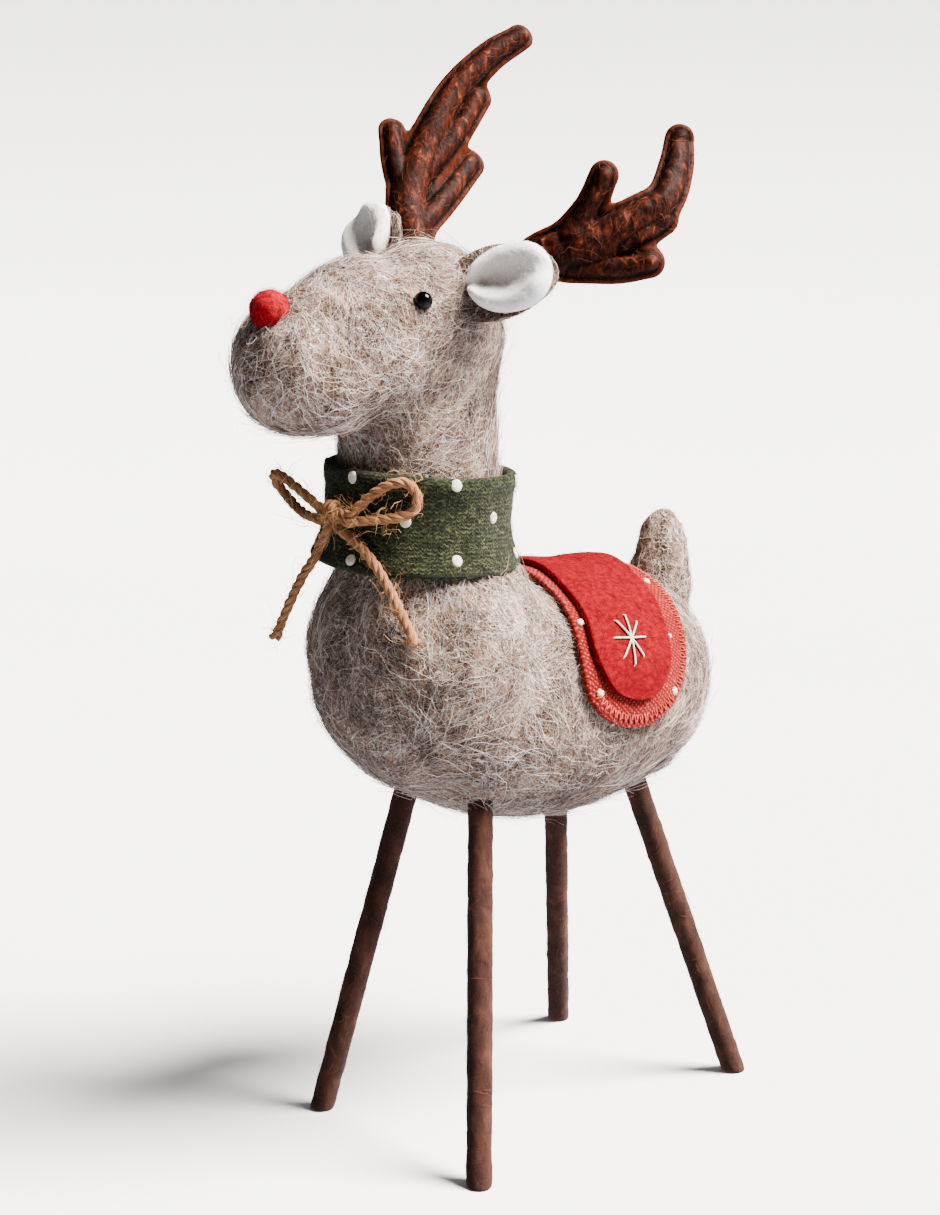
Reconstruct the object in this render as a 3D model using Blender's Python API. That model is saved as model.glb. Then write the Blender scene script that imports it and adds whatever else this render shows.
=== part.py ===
"""Standing reindeer ornament: a wool-wrapped animal on four wrapped dowel legs.

Metres, +Z up. The animal faces -Y and its own left side is +X. The pieces are placed from a
point on the floor under the trunk, and the whole then moves so that its origin lies under the
middle of its bounding box. Left and right are the animal's own.
"""

import math

import bmesh
import bpy
from mathutils import Matrix, Vector
from mathutils.bvhtree import BVHTree

# Air between pieces that touch, and the little more that a curved sheet needs over facets
GAP = 0.0003
DRAPE_GAP = 0.0011

# How far from the middle a ray starts when it looks for the wool from outside
OUTSIDE = 0.2

# Decimals of a metre that the whole is placed to
PLACE_DIGITS = 4

# Wool-wrapped trunk
BELLY_HEIGHT = 0.0908
BODY_LENGTH = 0.128
BODY_WIDTH = 0.083
BODY_DEPTH = 0.0725
BODY_SHIFT = 0.0
CHEST_LENGTH = 0.064
CHEST_WIDTH = 0.071
CHEST_DEPTH = 0.079
CHEST_RISE = 0.0122
CHEST_BACK = 0.003
RUMP_LENGTH = 0.066
RUMP_WIDTH = 0.078
RUMP_DEPTH = 0.069
RUMP_PLACE = 0.0285
RUMP_RISE = 0.0013

# Neck, and the head that turns on it
NECK_PLACE = -0.046
NECK_LENGTH = 0.046
NECK_WIDTH = 0.043
HEAD_HEIGHT = 0.220
HEAD_ROLL = math.radians(13.0)
HEAD_PITCH = math.radians(-1.0)
SKULL_LENGTH = 0.047
SKULL_WIDTH = 0.046
SKULL_DEPTH = 0.050
SKULL_REACH = 0.0015
SKULL_RISE = 0.014
BROW_LENGTH = 0.050
BROW_WIDTH = 0.044
BROW_DEPTH = 0.0445
BROW_REACH = 0.023
BROW_RISE = 0.011
MUZZLE_LENGTH = 0.042
MUZZLE_WIDTH = 0.040
MUZZLE_DEPTH = 0.038
MUZZLE_REACH = 0.041
MUZZLE_RISE = 0.003

# How finely the wool form is drawn
WOOL_VOXEL = 0.0025
WOOL_SMOOTHING = 14
WOOL_TRIANGLES = 1700

# Face
NOSE_DIAMETER = 0.0102
NOSE_RISE = math.radians(44.0)
EYE_DIAMETER = 0.0050
EYE_REACH = 0.020
EYE_DROP = 0.0087
BALL_SINK = 0.35

# Ears: a felted wool leaf with a fleece lining, set on the side of the head
EAR_LENGTH = 0.0275
EAR_WIDTH = 0.0215
EAR_CUP = 0.0042
EAR_WALL = 0.0022
EAR_BACK = -0.005
EAR_DROP = 0.0100
EAR_SINK = 0.002
EAR_LIFT = math.radians(21.0)
EAR_SWEEP = math.radians(28.0)
EAR_TURN = math.radians(-14.0)
LINING_WALL = 0.0014
LINING_MARGIN = 0.0012
LINING_GAP = 0.0005

# Antlers: stuffed cloth with a flat sewn edge
ANTLER_SEAT_OUT = 0.0165
ANTLER_SEAT_BACK = 0.012
ANTLER_SEAM = 0.0016
ANTLER_SEAM_WALL = 0.0013
ANTLER_PUFF = 0.0068
FULL_PUFF_WIDTH = 0.0035

# How far each antler's flat is turned forward and leaned inward
ANTLER_TURN = {"left": math.radians(45.0), "right": math.radians(-33.0)}
ANTLER_LEAN = {"left": math.radians(-10.0), "right": math.radians(30.0)}

# Collar: a knitted tube round the neck, lower on the animal's left
COLLAR_HEIGHT = 0.0275
COLLAR_BOTTOM = 0.1692
COLLAR_DIAMETER = 0.0535
COLLAR_FLARE = 0.0044
COLLAR_WAIST = 0.0010
COLLAR_WALL = 0.0036
COLLAR_TILT = math.radians(5.5)

# Bow of jute cord on the collar's front
CORD_DIAMETER = 0.0030
KNOT_WIDTH = 0.0085
KNOT_HEIGHT = 0.0078
KNOT_DEPTH = 0.0066
KNOT_RISE = 0.0017
KNOT_TURN = -4.0
LOOP_POINTS = 10
TAIL_POINTS = 7

# Saddle blanket: a lower and an upper layer of felt over the back
SADDLE_WIDTH = 0.047
SADDLE_DROP = math.radians(97.0)
SADDLE_PLACE = 0.017
SADDLE_SKEW = -0.0160
SADDLE_WALL = 0.0012
SADDLE_TOP_WALL = 0.0015
SADDLE_TOP_MARGIN = 0.0045
SADDLE_ROUND = 0.30

# Tail: a felted cone that points up
TAIL_LENGTH = 0.0375
TAIL_DIAMETER = 0.0235
TAIL_PLACE = 0.0585
TAIL_LEAN = math.radians(7.0)
TAIL_SINK = 0.004

# Legs: wrapped dowels that spread to the four feet
LEG_DIAMETER = 0.0072
LEG_SOCKET = 0.014
FOOT_BEVEL = 0.0008

# Where each leg stands and where its middle line meets the level of the belly, side and length ways
LEGS = {
    "front_left": ((0.0350, -0.0570), (0.0175, -0.0388)),
    "front_right": ((-0.0375, -0.0515), (-0.0184, -0.0368)),
    "rear_left": ((0.0325, 0.0615), (0.0181, 0.0312)),
    "rear_right": ((-0.0393, 0.0575), (-0.0124, 0.0257)),
}

SIDES = {"left": 1.0, "right": -1.0}

# Tines of each antler from its seat on the wool: (outward, back, up, half width) along the middle,
# to the centre of the round tip. The two were sewn and stuffed by hand and differ.
TINES = {
    "left": {
        "beam": [
            (-0.0050, -0.0030, 0.0000, 0.0040),
            (0.0051, 0.0052, 0.0159, 0.0070),
            (0.0148, 0.0121, 0.0212, 0.0078),
            (0.0215, 0.0204, 0.0304, 0.0060),
            (0.0243, 0.0282, 0.0368, 0.0055),
            (0.0213, 0.0343, 0.0451, 0.0050),
            (0.0169, 0.0389, 0.0529, 0.0041),
        ],
        "brow": [
            (0.0085, 0.0080, 0.0185, 0.0056),
            (0.0131, 0.0118, 0.0318, 0.0042),
            (0.0151, 0.0129, 0.0407, 0.0040),
        ],
        "middle": [
            (0.0191, 0.0156, 0.0232, 0.0048),
            (0.0243, 0.0222, 0.0280, 0.0045),
            (0.0270, 0.0260, 0.0318, 0.0043),
        ],
        "rear": [
            (0.0118, 0.0104, 0.0162, 0.0048),
            (0.0217, 0.0170, 0.0176, 0.0045),
            (0.0288, 0.0219, 0.0206, 0.0043),
        ],
    },
    "right": {
        "beam": [
            (-0.0040, -0.0030, -0.0020, 0.0050),
            (0.0060, -0.0007, 0.0124, 0.0060),
            (0.0155, 0.0040, 0.0252, 0.0068),
            (0.0219, 0.0189, 0.0498, 0.0053),
            (0.0216, 0.0317, 0.0642, 0.0048),
            (0.0190, 0.0414, 0.0722, 0.0041),
        ],
        "brow": [
            (0.0158, 0.0026, 0.0259, 0.0046),
            (0.0211, 0.0024, 0.0307, 0.0043),
            (0.0275, 0.0044, 0.0401, 0.0040),
        ],
        "middle": [
            (0.0156, 0.0086, 0.0301, 0.0046),
            (0.0173, 0.0200, 0.0418, 0.0043),
            (0.0197, 0.0291, 0.0530, 0.0041),
        ],
        "rear": [
            (0.0070, 0.0016, 0.0160, 0.0048),
            (0.0107, 0.0134, 0.0239, 0.0044),
            (0.0143, 0.0255, 0.0344, 0.0041),
        ],
    },
}

# Bow cords. The left loop lies on the collar: degrees from its front, height over its middle, lift off it.
LEFT_LOOP = [
    (12, 0.0035, 0.0020),
    (24, 0.0095, 0.0008),
    (36, 0.0125, 0.0004),
    (44, 0.0100, 0.0004),
    (44, 0.0052, 0.0004),
    (36, 0.0030, 0.0006),
    (24, 0.0018, 0.0010),
    (12, 0.0006, 0.0020),
]

# The other three from the knot's middle: left, back, up
RIGHT_LOOP = [
    (-0.0055, -0.0005, 0.0015),
    (-0.0120, -0.0020, 0.0060),
    (-0.0180, -0.0030, 0.0094),
    (-0.0222, -0.0020, 0.0092),
    (-0.0228, 0.0005, 0.0058),
    (-0.0185, 0.0010, 0.0022),
    (-0.0120, -0.0005, -0.0006),
    (-0.0055, -0.0010, -0.0018),
]
LEFT_TAIL = [
    (0.0030, 0.0000, -0.0044),
    (0.0092, 0.0016, -0.0087),
    (0.0150, 0.0036, -0.0156),
    (0.0188, 0.0055, -0.0236),
    (0.0225, 0.0062, -0.0295),
    (0.0250, 0.0066, -0.0339),
]
RIGHT_TAIL = [
    (-0.0020, -0.0010, -0.0055),
    (-0.0070, -0.0010, -0.0130),
    (-0.0130, -0.0020, -0.0210),
    (-0.0215, -0.0030, -0.0360),
]


def clear_scene():
    """Remove every object."""
    for obj in list(bpy.data.objects):
        bpy.data.objects.remove(obj, do_unlink=True)


def material(name, colour, roughness):
    """A plain finish."""
    made = bpy.data.materials.new(name)
    made.use_nodes = True
    shader = made.node_tree.nodes["Principled BSDF"]
    shader.inputs["Base Color"].default_value = (*colour, 1.0)
    shader.inputs["Roughness"].default_value = roughness
    shader.inputs["Metallic"].default_value = 0.0
    return made


def add_piece(name, bm, finish, smooth=True):
    """Turn a bmesh into a named object with outward faces."""
    bmesh.ops.triangulate(bm, faces=bm.faces)
    bmesh.ops.recalc_face_normals(bm, faces=bm.faces)
    mesh = bpy.data.meshes.new(name)
    bm.to_mesh(mesh)
    bm.free()
    mesh.materials.append(finish)
    if smooth:
        mesh.shade_smooth()
    obj = bpy.data.objects.new(name, mesh)
    bpy.context.scene.collection.objects.link(obj)
    return obj


def evaluated_mesh(obj):
    """The mesh of an object with its modifiers worked in."""
    bpy.context.view_layer.update()
    graph = bpy.context.evaluated_depsgraph_get()
    return bpy.data.meshes.new_from_object(obj.evaluated_get(graph))


def surface_of(obj):
    """A tree for ray casts on an object as it now stands."""
    mesh = evaluated_mesh(obj)
    corners = [v.co.copy() for v in mesh.vertices]
    tree = BVHTree.FromPolygons(corners, [tuple(p.vertices) for p in mesh.polygons])
    bpy.data.meshes.remove(mesh)
    return tree


def guide(obj):
    """Mark an object that only cuts others."""
    obj.hide_render = True
    obj.display_type = "WIRE"
    return obj


def cut_away(obj, cutter):
    """Take the cutter's volume out of an object."""
    cut = obj.modifiers.new("cut_" + cutter.name, "BOOLEAN")
    cut.operation = "DIFFERENCE"
    cut.solver = "EXACT"
    cut.object = cutter


def head_frame():
    """From the head's own axes, left, back and up from the top of the neck, to the room's."""
    seat = Matrix.Translation((0.0, NECK_PLACE, HEAD_HEIGHT))
    return seat @ Matrix.Rotation(HEAD_ROLL, 4, "Y") @ Matrix.Rotation(HEAD_PITCH, 4, "X")


def smooth_path(points, count):
    """Evenly numbered points along a smooth curve through a few given ones."""
    ends = [points[0] * 2 - points[1], *points, points[-1] * 2 - points[-2]]
    path = []
    for step in range(count):
        place = step / (count - 1) * (len(points) - 1)
        span = min(int(place), len(points) - 2)
        t = place - span
        a, b, c, d = ends[span : span + 4]
        bend = (2 * a - 5 * b + 4 * c - d) * t * t + (3 * b - a - 3 * c + d) * t**3
        path.append(0.5 * (2 * b + (c - a) * t + bend))
    return path


def blend(values, share):
    """A value between the evenly spaced ones of a list."""
    place = share * (len(values) - 1)
    span = min(int(place), len(values) - 2)
    return values[span] + (values[span + 1] - values[span]) * (place - span)


def loft(bm, rings, flat=False):
    """Skin a row of rings of equal count and close both ends, by a fan or, where flat, face to face."""
    loops = [[bm.verts.new(point) for point in ring] for ring in rings]
    count = len(loops[0])
    for low, high in zip(loops, loops[1:]):
        for k in range(count):
            bm.faces.new((low[k], low[(k + 1) % count], high[(k + 1) % count], high[k]))
    for loop in (loops[0], loops[-1]):
        if flat:
            for k in range(count // 2 - 1):
                bm.faces.new((loop[k], loop[k + 1], loop[count - 2 - k], loop[count - 1 - k]))
            continue
        centre = bm.verts.new(sum((v.co for v in loop), Vector()) / count)
        for k in range(count):
            bm.faces.new((loop[k], loop[(k + 1) % count], centre))


def add_egg(bm, centre, size, frame=Matrix.Identity(4)):
    """A closed egg of the given full sizes."""
    place = frame @ Matrix.Translation(centre) @ Matrix.Diagonal((*(s / 2 for s in size), 1.0))
    bmesh.ops.create_icosphere(bm, subdivisions=4, radius=1.0, matrix=place)


def add_post(bm, place, low, high, size):
    """A closed upright post of oval section."""
    middle = Matrix.Translation((*place, (low + high) / 2))
    place = middle @ Matrix.Diagonal((size[0] / 2, size[1] / 2, high - low, 1.0))
    bmesh.ops.create_cone(bm, cap_ends=True, segments=32, radius1=1.0, radius2=1.0, depth=1.0, matrix=place)


def wool_forms(bm):
    """The eggs that the wool is wound over, from the rump to the muzzle."""
    middle = BELLY_HEIGHT + BODY_DEPTH / 2
    add_egg(bm, (0, BODY_SHIFT, middle), (BODY_WIDTH, BODY_LENGTH, BODY_DEPTH))
    add_egg(bm, (0, RUMP_PLACE, middle + RUMP_RISE), (RUMP_WIDTH, RUMP_LENGTH, RUMP_DEPTH))
    chest = Vector((0, NECK_PLACE + CHEST_BACK, BELLY_HEIGHT + CHEST_DEPTH / 2 + CHEST_RISE))
    add_egg(bm, chest, (CHEST_WIDTH, CHEST_LENGTH, CHEST_DEPTH))
    add_post(bm, (0, NECK_PLACE), chest.z, HEAD_HEIGHT, (NECK_WIDTH, NECK_LENGTH))
    frame = head_frame()
    add_egg(bm, (0, -SKULL_REACH, SKULL_RISE), (SKULL_WIDTH, SKULL_LENGTH, SKULL_DEPTH), frame)
    add_egg(bm, (0, -BROW_REACH, BROW_RISE), (BROW_WIDTH, BROW_LENGTH, BROW_DEPTH), frame)
    add_egg(bm, (0, -MUZZLE_REACH, MUZZLE_RISE), (MUZZLE_WIDTH, MUZZLE_LENGTH, MUZZLE_DEPTH), frame)


def make_wool(finish):
    """Melt the forms into one soft body with few faces."""
    bm = bmesh.new()
    wool_forms(bm)
    rough = add_piece("wool_forms", bm, finish)
    melt = rough.modifiers.new("melt", "REMESH")
    melt.mode = "VOXEL"
    melt.voxel_size = WOOL_VOXEL
    soften = rough.modifiers.new("soften", "SMOOTH")
    soften.factor = 0.5
    soften.iterations = WOOL_SMOOTHING
    thin = rough.modifiers.new("thin", "DECIMATE")
    fine = len(evaluated_mesh(rough).polygons) * 2
    thin.ratio = 1.0
    thin.use_collapse_triangulate = True
    thin.ratio = min(1.0, WOOL_TRIANGLES / max(fine, 1))
    mesh = evaluated_mesh(rough)
    bpy.data.objects.remove(rough, do_unlink=True)
    mesh.name = "wool_body"
    mesh.shade_smooth()
    wool = bpy.data.objects.new("wool_body", mesh)
    bpy.context.scene.collection.objects.link(wool)
    return wool


def make_clearance(wool, finish):
    """The wool body grown by the gap: what sits on the wool is cut back to it."""
    bm = bmesh.new()
    bm.from_mesh(wool.data)
    bm.normal_update()
    for vert in bm.verts:
        vert.co += vert.normal * GAP
    return guide(add_piece("wool_clearance", bm, finish))


def cast(tree, start, direction):
    """The first point on the surface along a ray, and the surface's outward direction there."""
    point, normal, _, _ = tree.ray_cast(start, direction.normalized())
    return point, normal


def add_ball(name, centre, diameter, finish):
    """A ball."""
    bm = bmesh.new()
    place = Matrix.Translation(centre)
    bmesh.ops.create_uvsphere(bm, u_segments=14, v_segments=8, radius=diameter / 2, matrix=place)
    return add_piece(name, bm, finish)


def seat_ball(name, wool, tree, start, aim, diameter, finish):
    """A ball set into the wool where a ray from outside meets it."""
    point, normal = cast(tree, start, aim)
    centre = point + normal * diameter * (0.5 - BALL_SINK)
    ball = add_ball(name, centre, diameter, finish)
    cut_away(wool, guide(add_ball(name + "_dimple", centre, diameter + 2 * GAP, finish)))
    return ball


def make_face(wool, tree, finishes):
    """Nose ball and bead eyes."""
    frame = head_frame()
    turn = frame.to_3x3()
    rise = Vector((0.0, -math.cos(NOSE_RISE), math.sin(NOSE_RISE)))
    muzzle = Vector((0.0, -MUZZLE_REACH, MUZZLE_RISE))
    start = frame @ (muzzle + rise * OUTSIDE)
    seat_ball("nose", wool, tree, start, turn @ -rise, NOSE_DIAMETER, finishes["nose"])
    for side, sign in SIDES.items():
        place = Vector((sign * OUTSIDE, -EYE_REACH, BROW_RISE + BROW_DEPTH / 2 - EYE_DROP))
        inward = turn @ Vector((-sign, 0.0, 0.0))
        seat_ball("eye_" + side, wool, tree, frame @ place, inward, EYE_DIAMETER, finishes["bead"])


def leaf_half_width(share, width):
    """Half width of an ear at a share of its length: narrow root, wide middle, blunt tip."""
    return width / 2 * math.sin(math.pi * min(1.0, 0.16 + 0.84 * share) ** 0.85) ** 0.52


def leaf_rings(length, width, cup, wall, lift, place):
    """Cross sections of a cupped leaf from its root to its tip."""
    steps, across = 7, 3
    rings = []
    for i in range(steps + 1):
        share = 0.985 * math.sin(i / steps * math.pi / 2)
        half = leaf_half_width(share, width)
        ring = []
        for face in (1, -1):
            for j in range(-across, across + 1):
                x = face * j / across
                hollow = cup * (x * x - 1) * math.sin(math.pi * (0.15 + 0.8 * share))
                round_off = max(wall * 0.5 * math.sqrt(max(0.0, 1 - abs(x) ** 3)), wall * 0.12)
                spot = Vector((share * length, x * half, lift + hollow + face * round_off))
                ring.append(place @ spot)
        rings.append(ring)
    return rings


def ear_place(tree, sign):
    """The ear's own frame at its root: x out to the tip, y across and up, z the hollow side."""
    frame = head_frame()
    turn = frame.to_3x3()
    start = frame @ Vector((sign * OUTSIDE, EAR_BACK, SKULL_RISE + SKULL_DEPTH / 2 - EAR_DROP))
    root, _ = cast(tree, start, turn @ Vector((-sign, 0.0, 0.0)))
    out = Vector((sign * math.cos(EAR_LIFT) * math.cos(EAR_SWEEP), math.cos(EAR_LIFT) * math.sin(EAR_SWEEP),
                  math.sin(EAR_LIFT)))
    facing = Vector((0.0, -math.cos(EAR_TURN), -math.sin(EAR_TURN)))
    across = facing.cross(out).normalized() * sign
    facing = out.cross(across).normalized() * sign
    axes = Matrix((turn @ out, turn @ across, turn @ facing)).transposed().to_4x4()
    return Matrix.Translation(root - turn @ out * EAR_SINK) @ axes


def make_ears(clearance, tree, finishes):
    """Felted ears, each with a lining of its own."""
    for side, sign in SIDES.items():
        place = ear_place(tree, sign)
        bm = bmesh.new()
        loft(bm, leaf_rings(EAR_LENGTH, EAR_WIDTH, EAR_CUP, EAR_WALL, 0.0, place), flat=True)
        cut_away(add_piece("ear_" + side, bm, finishes["wool"]), clearance)
        lift = EAR_WALL / 2 + LINING_WALL / 2 + LINING_GAP
        length, width = EAR_LENGTH - LINING_MARGIN, EAR_WIDTH - 2 * LINING_MARGIN
        bm = bmesh.new()
        loft(bm, leaf_rings(length, width, EAR_CUP, LINING_WALL, lift, place), flat=True)
        cut_away(add_piece("ear_lining_" + side, bm, finishes["fleece"]), clearance)


def tine_section(centre, across, normal, half, place):
    """One section of a stuffed tine: a puffed middle between two flat sewn edges."""
    core = max(half - ANTLER_SEAM, half * 0.5)
    seam = ANTLER_SEAM_WALL / 2 * min(1.0, half / ANTLER_SEAM)
    puff = seam + (ANTLER_PUFF / 2 - seam) * min(1.0, core / FULL_PUFF_WIDTH)
    ring = []
    for face in (1, -1):
        ring.append((face * half, face * seam))
        for k in range(4):
            angle = math.pi * k / 3
            rise = seam * 1.1 + (puff - seam) * math.sin(angle)
            ring.append((face * core * math.cos(angle), face * rise))
        ring.append((-face * half, face * seam))
    return [place @ (centre + across * x + normal * y) for x, y in ring]


def tine_rings(points, place, side):
    """Sections of one stuffed tine from its root to its round tip."""
    count = max(5, len(points) + 3)
    path = smooth_path([Vector(p[:3]) for p in points], count)
    half_widths = [p[3] for p in points]
    turn, lean = ANTLER_TURN[side], ANTLER_LEAN[side]
    flat = Vector((math.cos(lean) * math.cos(turn), -math.cos(lean) * math.sin(turn), -math.sin(lean)))
    rings = []
    for i, centre in enumerate(path):
        ahead = (path[min(i + 1, count - 1)] - path[max(i - 1, 0)]).normalized()
        across = ahead.cross(flat).normalized()
        normal = across.cross(ahead).normalized()
        rings.append(tine_section(centre, across, normal, blend(half_widths, i / (count - 1)), place))
    for degrees in (32, 58, 78):
        angle = math.radians(degrees)
        reach, half = half_widths[-1] * math.sin(angle), half_widths[-1] * math.cos(angle)
        rings.append(tine_section(path[-1] + ahead * reach, across, normal, half, place))
    return rings


def make_antlers(clearance, tree, finishes):
    """Two antlers, each a union of four tines, seated on top of the head."""
    frame = head_frame()
    turn = frame.to_3x3()
    for side, sign in SIDES.items():
        start = frame @ Vector((sign * ANTLER_SEAT_OUT, ANTLER_SEAT_BACK, OUTSIDE))
        seat, _ = cast(tree, start, turn @ Vector((0.0, 0.0, -1.0)))
        place = Matrix.Translation(seat) @ turn.to_4x4() @ Matrix.Diagonal((sign, 1.0, 1.0, 1.0))
        antler = None
        for name, points in TINES[side].items():
            bm = bmesh.new()
            loft(bm, tine_rings(points, place, side))
            label = "antler_" + side if antler is None else f"tine_{side}_{name}"
            tine = add_piece(label, bm, finishes["suede"])
            if antler is None:
                antler = tine
                continue
            join = antler.modifiers.new("join_" + name, "BOOLEAN")
            join.operation = "UNION"
            join.solver = "EXACT"
            join.object = guide(tine)
        cut_away(antler, clearance)


def collar_frame():
    """The collar's own frame: its axis up from the middle of its lower edge."""
    middle = Matrix.Translation((0.0, NECK_PLACE, COLLAR_BOTTOM + COLLAR_HEIGHT / 2))
    down = Matrix.Translation((0.0, 0.0, -COLLAR_HEIGHT / 2))
    return middle @ Matrix.Rotation(COLLAR_TILT, 4, "Y") @ down


def collar_radius(height):
    """Outer radius of the collar at a height above its lower edge."""
    share = height / COLLAR_HEIGHT
    flare = COLLAR_FLARE / 2 * (1 - share) ** 2
    return COLLAR_DIAMETER / 2 + flare - COLLAR_WAIST * math.sin(math.pi * share)


def make_collar(clearance, finishes):
    """A knitted tube with rounded edges, turned round the neck."""
    segments, levels = 24, 4
    bm = bmesh.new()
    frame = collar_frame()
    profile = []
    for face in (0, 1):
        for i in range(levels + 1):
            share = i / levels if face == 0 else 1 - i / levels
            edge = COLLAR_WALL * 0.28 if i in (0, levels) else 0.0
            inset = edge if face == 0 else COLLAR_WALL - edge
            profile.append((collar_radius(share * COLLAR_HEIGHT) - inset, share * COLLAR_HEIGHT))
    loops = []
    for k in range(segments):
        angle = 2 * math.pi * k / segments
        spots = [Vector((r * math.sin(angle), -r * math.cos(angle), z)) for r, z in profile]
        loops.append([bm.verts.new(frame @ spot) for spot in spots])
    for k in range(segments):
        near, far = loops[k], loops[(k + 1) % segments]
        for i in range(len(profile)):
            j = (i + 1) % len(profile)
            bm.faces.new((near[i], near[j], far[j], far[i]))
    cut_away(add_piece("collar", bm, finishes["knit"]), clearance)


def on_collar(turn, height, lift):
    """A point off the collar's outside: degrees from its front towards the left, height, distance."""
    angle = math.radians(turn)
    radius = collar_radius(height) + lift
    return collar_frame() @ Vector((radius * math.sin(angle), -radius * math.cos(angle), height))


def knot_centre():
    """Middle of the knot, on the collar's front."""
    return on_collar(KNOT_TURN, COLLAR_HEIGHT / 2 + KNOT_RISE, KNOT_DEPTH / 2 + GAP)


def bow_routes():
    """Middle lines of the bow's loops and tails, from points beside the knot."""
    knot = knot_centre()
    off = CORD_DIAMETER / 2 + GAP
    half = COLLAR_HEIGHT / 2
    routes = {
        "bow_loop_left": [on_collar(t, half + h, off + l) for t, h, l in LEFT_LOOP],
        "bow_loop_right": [knot + Vector(p) for p in RIGHT_LOOP],
        "bow_tail_left": [knot + Vector(p) for p in LEFT_TAIL],
        "bow_tail_right": [knot + Vector(p) for p in RIGHT_TAIL],
    }
    return routes


def make_bow(finishes):
    """The knot and the four lengths of cord that leave it."""
    bm = bmesh.new()
    bmesh.ops.create_icosphere(bm, subdivisions=2, radius=0.5, matrix=Matrix.Translation(knot_centre())
                               @ Matrix.Diagonal((KNOT_WIDTH, KNOT_DEPTH, KNOT_HEIGHT, 1.0)))
    add_piece("bow_knot", bm, finishes["jute"])
    for name, route in bow_routes().items():
        curve = bpy.data.curves.new(name, "CURVE")
        curve.dimensions = "3D"
        curve.bevel_depth = CORD_DIAMETER / 2
        curve.bevel_resolution = 2
        curve.use_fill_caps = True
        path = smooth_path(route, LOOP_POINTS if "loop" in name else TAIL_POINTS)
        spline = curve.splines.new("POLY")
        spline.points.add(len(path) - 1)
        for point, place in zip(spline.points, path):
            point.co = (*place, 1.0)
        curve.materials.append(finishes["jute"])
        cord = bpy.data.objects.new(name, curve)
        bpy.context.scene.collection.objects.link(cord)


def draped_sheet(name, tree, margin, lift, wall, finish):
    """A felt strip over the back with round ends, following the wool."""
    columns, rows = 16, 6
    middle = BELLY_HEIGHT + BODY_DEPTH / 2
    drop = SADDLE_DROP - margin / (BODY_DEPTH / 2)
    faces = []
    for i in range(columns + 1):
        share = math.sin((i / columns - 0.5) * math.pi)
        angle = share * drop
        turned = abs(share)
        closing = max(0.0, (turned - 1 + SADDLE_ROUND) / SADDLE_ROUND)
        half = (SADDLE_WIDTH / 2 - margin) * math.sqrt(max(0.02, 1 - closing**2.4))
        line = []
        for j in range(rows + 1):
            y = SADDLE_PLACE + SADDLE_SKEW * turned + half * (2 * j / rows - 1)
            out = Vector((math.sin(angle), 0.0, math.cos(angle)))
            point, normal = cast(tree, Vector((0.0, y, middle)) + out * OUTSIDE, -out)
            line.append((point, normal))
        faces.append(line)
    bm = bmesh.new()
    skins = []
    for height in (lift, lift + wall):
        skins.append([[bm.verts.new(point + normal * height) for point, normal in line] for line in faces])
    for skin, flip in zip(skins, (True, False)):
        for i in range(columns):
            for j in range(rows):
                quad = (skin[i][j], skin[i + 1][j], skin[i + 1][j + 1], skin[i][j + 1])
                bm.faces.new(quad if flip else quad[::-1])
    rim = [(i, 0) for i in range(columns)] + [(columns, j) for j in range(rows)]
    rim += [(i, rows) for i in range(columns, 0, -1)] + [(0, j) for j in range(rows, 0, -1)]
    for (a, b), (c, d) in zip(rim, rim[1:] + rim[:1]):
        bm.faces.new((skins[0][a][b], skins[0][c][d], skins[1][c][d], skins[1][a][b]))
    return add_piece(name, bm, finish)


def make_saddle(tree, finishes):
    """Lower tweed layer and upper plush layer."""
    draped_sheet("saddle_blanket", tree, 0.0, DRAPE_GAP, SADDLE_WALL, finishes["tweed"])
    lift = DRAPE_GAP + SADDLE_WALL + DRAPE_GAP
    draped_sheet("saddle_top", tree, SADDLE_TOP_MARGIN, lift, SADDLE_TOP_WALL, finishes["plush"])


def make_tail(clearance, tree, finishes):
    """A soft cone on the rump."""
    root, _ = cast(tree, Vector((0.0, TAIL_PLACE, BELLY_HEIGHT + OUTSIDE)), Vector((0.0, 0.0, -1.0)))
    lean = Matrix.Rotation(-TAIL_LEAN, 4, "X")
    place = Matrix.Translation(root) @ lean @ Matrix.Translation((0.0, 0.0, -TAIL_SINK))
    rings = []
    for i in range(10):
        share = i / 9
        swell = 0.88 + 0.12 * math.sin(math.pi * share)
        radius = TAIL_DIAMETER / 2 * math.sqrt(max(0.015, 1 - share**1.8)) * swell
        height = share * (TAIL_LENGTH + TAIL_SINK)
        rings.append([place @ Vector((radius * math.cos(a), radius * math.sin(a), height))
                      for a in (2 * math.pi * k / 14 for k in range(14))])
    bm = bmesh.new()
    loft(bm, rings)
    cut_away(add_piece("tail", bm, finishes["wool"]), clearance)


def add_rod(name, foot, top, radius, finish, bevel):
    """A round rod whose lower end is cut level and eased at its rim."""
    bm = bmesh.new()
    rings = []
    axis = (top - foot).normalized()
    across = Vector((0.0, 1.0, 0.0)).cross(axis).normalized()
    other = axis.cross(across)
    for share, size in ((0.0, radius - bevel), (bevel / (top - foot).length, radius), (1.0, radius)):
        ring = []
        for k in range(16):
            angle = 2 * math.pi * k / 16
            offset = (across * math.cos(angle) + other * math.sin(angle)) * size
            point = foot + (top - foot) * share + offset
            if share < 0.5:
                point -= axis * ((point.z - foot.z - share * (top.z - foot.z)) / axis.z)
            ring.append(point)
        rings.append(ring)
    loft(bm, rings)
    return add_piece(name, bm, finish)


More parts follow.
